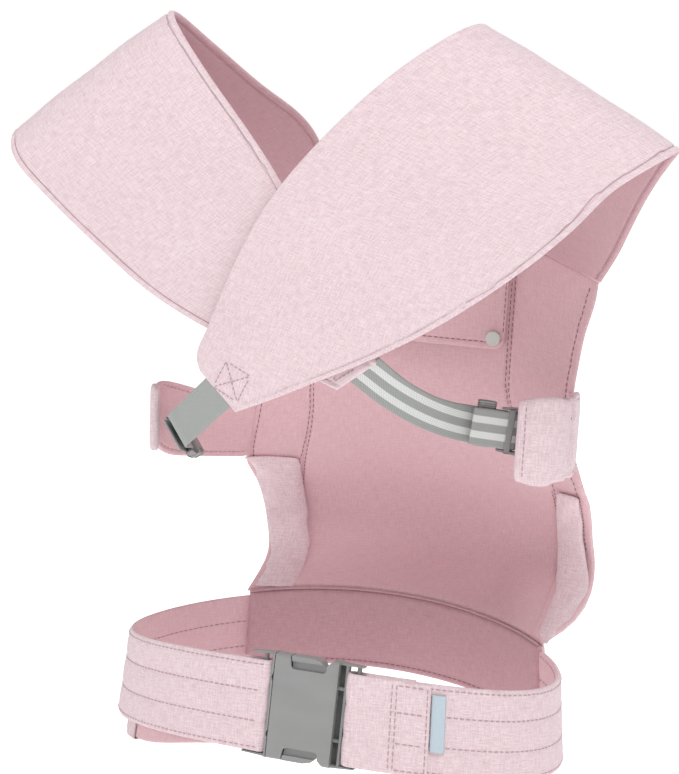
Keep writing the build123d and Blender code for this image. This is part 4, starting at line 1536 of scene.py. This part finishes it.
def wing(side, outward, place, cut, reach):
    """A side wing; cut is how far its lower and upper edges turn in at the buckle, and
    reach is how far it runs on under the cover."""
    node = f"wing_{side}"
    pairs = resampled(ribbon_stations(node, lambda p: -p.y), 4 * MM, outward)
    pairs = [[place(a), place(b)] for a, b in pairs]
    cover_low, cover_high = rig.box(f"buckle_cover_{side}")
    end = place((cover_low + cover_high) / 2) - (pairs[-1][0] + pairs[-1][1]) / 2
    end.z = 0
    end.normalize()
    turn = 1 if side == "right" else -1

    def at_panel(p):
        x = MIDDLE_X + turn * (panel_edge(turn, p.z) - 3 * MM)
        return Vector((x, panel_depth(x, p.z) - 2.5 * MM, p.z))

    first = pairs[0]
    for share in (0.35, 0.7, 1.0):
        pairs.insert(0, [p.lerp(at_panel(p), share) for p in first])
    pairs = eased(pairs, 6)
    pairs.append([p + end * reach for p in pairs[-1]])
    for k, (a, b) in enumerate(pairs):
        end = smoothstep((k / (len(pairs) - 1) - 0.6) / 0.4)
        low, high = (a, b) if a.z < b.z else (b, a)
        low.z += cut[0] * end * end
        high.z -= cut[1] * end ** 4
    shares = clusters(50 * MM, (4 * MM, 46 * MM), 4 * MM)
    rise = padded(4.4 * MM, 0.8 * MM, (4 * MM, -4 * MM), 0.5, 0.7, soft=0.8 * MM, seed=15.0)
    sheet = Sheet(f"side_wing_{side}", strip_rows(pairs, shares), rise, [OUTER, LINING], "outer_fabric")
    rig.replaces(sheet.object, node)
    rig.ride(sheet.object, "carrier")
    stitching = Stitching(f"side_wing_{side}_stitches", THREAD_1, "carrier", "outer_fabric")
    for back in (False, True):
        for offset in (4 * MM, -4 * MM):
            stitching.run(along_line(sheet, offset, 9 * MM, sheet.length - 16 * MM, back))
    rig.ride(stitching.finish(), "carrier")


# ---------------------------------------------------------------- webbing

def webbing_piece(name, node, first, outward, material, slot, root=0):
    """A run of webbing; root is how many stations it is sewn into the strap by."""
    pairs = resampled(ribbon_stations(node, first), 2.2 * MM, outward)
    for _ in range(root):
        pairs.insert(0, [p + (p - q) for p, q in zip(pairs[0], pairs[1])])
    shares = clusters(25 * MM, (), 4 * MM)
    rise = padded(1.5 * MM)
    sheet = Sheet(name, strip_rows(pairs, shares), rise, [material, material], slot)
    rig.replaces(sheet.object, node)
    return sheet


def side_webbings():
    for side, material, slot, body in (("left", PLAIN_WEBBING, "grey_webbing", "left_plug"),
                                       ("right", STRIPED_WEBBING, "striped_webbing", "right_plug")):
        plug_low, plug_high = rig.box(f"side_{side}_buckle_plug")
        plug = (plug_low + plug_high) / 2
        run = webbing_piece(f"webbing_{side}", f"side_webbing_{side}",
                            lambda p: -(p - plug).length, TO_VIEWER, material, slot, root=4)
        start = run.place(0.12 * run.length, 12 * MM)[0]
        end = run.place(run.length - 24 * MM, 12 * MM)[0]
        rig.blend(run.object, "carrier", body, start, end)
        tail = webbing_piece(f"webbing_tail_{side}", f"side_webbing_tail_{side}",
                             lambda p: (p - run.place(run.length, 12 * MM)[0]).length,
                             TO_VIEWER, material, slot)
        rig.ride(tail.object, body)


def webbing_ring():
    joint = next(j for j in frame["joints"] if j["name"] == "right_webbing_ring_slide")
    along = Vector(joint["axis"]).normalized()
    mesh = NODES["side_webbing_ring_right"].data
    rise_axis = Vector((0, 0, 1)) - along * along.z
    rise_axis.normalize()
    depth_axis = rise_axis.cross(along)
    spots = [v.co for v in mesh.vertices]
    spans = [(min(p.dot(axis) for p in spots), max(p.dot(axis) for p in spots))
             for axis in (along, depth_axis, rise_axis)]
    wall = 0.75 * MM
    corners = ((spans[1][0] + wall / 2, spans[2][0] + wall / 2), (spans[1][1] - wall / 2, spans[2][1] - wall / 2))

    def across(y, z, share):
        x = spans[0][0] + (spans[0][1] - spans[0][0]) * share
        return along * x + depth_axis * y + rise_axis * z

    sheet = closed_ring("webbing_elastic", corners, across, wall, ELASTIC, "elastic")
    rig.replaces(sheet.object, "side_webbing_ring_right")
    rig.ride(sheet.object, "right_webbing_ring")


# ---------------------------------------------------------------- moulded parts

def moulded_parts():
    for name, made in NODES.items():
        if "buckle" in name and "cover" not in name or "prong" in name:
            material, radius = PLASTIC, 0.45 * MM
        elif "snap" in name:
            material, radius = SNAP, 0.5 * MM
        else:
            continue
        made.data.materials.clear()
        made.data.materials.append(material)
        bevel = made.modifiers.new("edge_radius", "BEVEL")
        bevel.width = radius
        bevel.segments = 2
        bevel.limit_method = "ANGLE"
        bevel.angle_limit = math.radians(40)


class BuckleFrame:
    """A buckle's own axes, from its release joint and its press hinges."""

    def __init__(self, release, press, body_length):
        joints = {j["name"]: j for j in RECORD["behaviour"]["joints"]}
        self.x = Vector(joints[release]["axis"]).normalized()
        self.y = -Vector(joints[press + "_upper"]["axis"]).normalized()
        self.z = self.x.cross(self.y).normalized()
        pivots = [Vector(joints[f"{press}_{k}"]["pos_m"]) for k in ("upper", "lower")]
        self.origin = (pivots[0] + pivots[1]) / 2 + self.x * 0.05 * body_length

    def point(self, x, y, z):
        return self.origin + self.x * x + self.y * y + self.z * z


def moulded_bar(name, place, spans, material, slot, radius):
    """A small moulded bar between spans of x, y and z in a buckle's frame."""
    corners = [place.point(x, y, z) for x in spans[0] for y in spans[1] for z in spans[2]]
    faces = [[0, 1, 3, 2], [4, 6, 7, 5], [0, 4, 5, 1], [2, 3, 7, 6], [0, 2, 6, 4], [1, 5, 7, 3]]
    made = mesh_object(name, corners, faces, [material])
    bevel = made.modifiers.new("edge_radius", "BEVEL")
    bevel.width = radius
    bevel.segments = 3
    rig.slot(made, slot)
    return made


def buckle_details():
    waist = BuckleFrame("waist_buckle_release", "waist_press", 43 * MM)
    web = ((-47.5 * MM, -42.8 * MM), (-2.9 * MM, -1.6 * MM), (-32.8 * MM, 32.8 * MM))
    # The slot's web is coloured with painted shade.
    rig.ride(moulded_bar("waist_socket_slot_web", waist, web, SLOT_SHADE_PLASTIC, "buckle_plastic", 0.3 * MM), "carrier")
    side = BuckleFrame("right_buckle_release", "right_press", 20 * MM)
    top = 15.2 * MM
    for name, x0, x1, y0, y1 in (("side_plug_front_bar", 10.5, 14.5, 3.4, 5.0),
                                 ("side_plug_edge_bar", 3.4, 6.2, 3.0, 4.4)):
        spans = ((x0 * MM, x1 * MM), (y0 * MM, y1 * MM), (-top, top))
        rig.ride(moulded_bar(name, side, spans, PLASTIC, "buckle_plastic", 0.6 * MM), "right_plug")
    for word, sign in (("upper", 1), ("lower", -1)):
        zs = sorted((sign * 13.4 * MM, sign * top))
        spans = ((3.4 * MM, 14.5 * MM), (0.5 * MM, 5.0 * MM), zs)
        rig.ride(moulded_bar(f"side_plug_cheek_{word}", side, spans, PLASTIC, "buckle_plastic", 0.6 * MM), "right_plug")


# ---------------------------------------------------------------- studio

AIR_LIGHT = 0.50
FLOOR_LIGHT = 0.48
FLOOR_SEEN = 0.75


def seen_strength(tree, lighting, seen):
    """A strength that lights the carrier with one value and shows the camera another."""
    ray = tree.nodes.new("ShaderNodeLightPath").outputs["Is Camera Ray"]
    strength = tree.nodes.new("ShaderNodeMapRange")
    tree.links.new(ray, strength.inputs["Value"])
    strength.inputs["To Min"].default_value = lighting
    strength.inputs["To Max"].default_value = seen
    return strength.outputs["Result"]


def studio():
    floor_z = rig.bounds()[0][2] - 0.2 * MM
    world = bpy.data.worlds.new("studio_air")
    bpy.context.scene.world = world
    world.use_nodes = True
    background = world.node_tree.nodes["Background"]
    background.inputs["Color"].default_value = (1.0, 1.0, 1.0, 1.0)
    world.node_tree.links.new(seen_strength(world.node_tree, AIR_LIGHT, 1.0), background.inputs["Strength"])
    g = Graph("studio_floor")
    place = g.node("ShaderNodeTexCoord").outputs["Object"]
    tone = g.mix(g.noise(place, 3.0), (0.90, 0.90, 0.90), (0.93, 0.93, 0.93))
    material = g.finish(tone, 0.9, specular=0.1)
    g.shader.inputs["Emission Color"].default_value = (1.0, 1.0, 1.0, 1.0)
    glow = seen_strength(material.node_tree, FLOOR_LIGHT, FLOOR_SEEN)
    material.node_tree.links.new(glow, g.shader.inputs["Emission Strength"])
    reach = 40.0
    floor = mesh_object("studio_floor", [(-reach, -reach, floor_z), (reach, -reach, floor_z),
                                         (reach, reach, floor_z), (-reach, reach, floor_z)],
                        [[0, 1, 2, 3]], [material])
    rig.stage(floor)


def area_light(name, spot, target, size, power, colour=(1, 1, 1)):
    data = bpy.data.lights.new(name, "AREA")
    data.shape = "SQUARE"
    data.size = size
    data.energy = power
    data.color = colour
    made = bpy.data.objects.new(name, data)
    made.location = spot
    made.rotation_euler = (Vector(target) - Vector(spot)).to_track_quat("-Z", "Y").to_euler()
    bpy.context.scene.collection.objects.link(made)


def lights():
    middle = (MIDDLE_X, LOOP_Y, 0.26)
    area_light("key", (0.6, -1.0, 1.9), middle, 0.8, 15)
    area_light("fill", (-1.6, -1.1, 0.7), middle, 1.4, 4)
    area_light("back", (0.4, 1.5, 1.3), middle, 1.2, 6)


def camera():
    """From behind the wearer, to the right and slightly above, with a small roll."""
    yaw, pitch, roll = 0.350649, 0.127226, 0.0610865
    forward = Vector((-math.sin(yaw) * math.cos(pitch), math.cos(yaw) * math.cos(pitch), -math.sin(pitch)))
    right = Vector((math.cos(yaw), math.sin(yaw), 0))
    up = right.cross(forward)
    rolled_right = right * math.cos(roll) + up * math.sin(roll)
    rolled_up = up * math.cos(roll) - right * math.sin(roll)
    matrix = Matrix((rolled_right, rolled_up, -forward)).transposed().to_4x4()
    matrix.translation = Vector((0.45336, -1.29515, 0.4174))
    data = bpy.data.cameras.new("camera")
    data.sensor_width = 36
    data.lens = 92.34
    made = bpy.data.objects.new("camera", data)
    made.matrix_world = matrix
    bpy.context.scene.collection.objects.link(made)
    bpy.context.scene.camera = made


# ---------------------------------------------------------------- build it all

belt_right_arm()
belt_right_loop()
belt_left_arm()
belt_keeper()
care_tag()
waist_pad()
straps = {-1: strap("left", (4.5 * MM, -4.5 * MM), 21.0), 1: strap("right", (-4.5 * MM,), 27.0)}
panel(straps)
puffed_pieces()
head_support()
wing("left", Vector((-1, 0, 0)), Vector.copy, (14 * MM, 6 * MM), 10 * MM)
wing("right", Vector((1, 0, 0)), drawn_in, (2 * MM, 2 * MM), 9 * MM)
side_webbings()
webbing_ring()
moulded_parts()
buckle_details()
studio()
lights()
camera()
bpy.context.scene.view_settings.view_transform = "Standard"

with open("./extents.json", "w") as report:
    json.dump({"cad": [list(corner) for corner in cad_bounds],
               "visual": [list(corner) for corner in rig.bounds()]}, report)
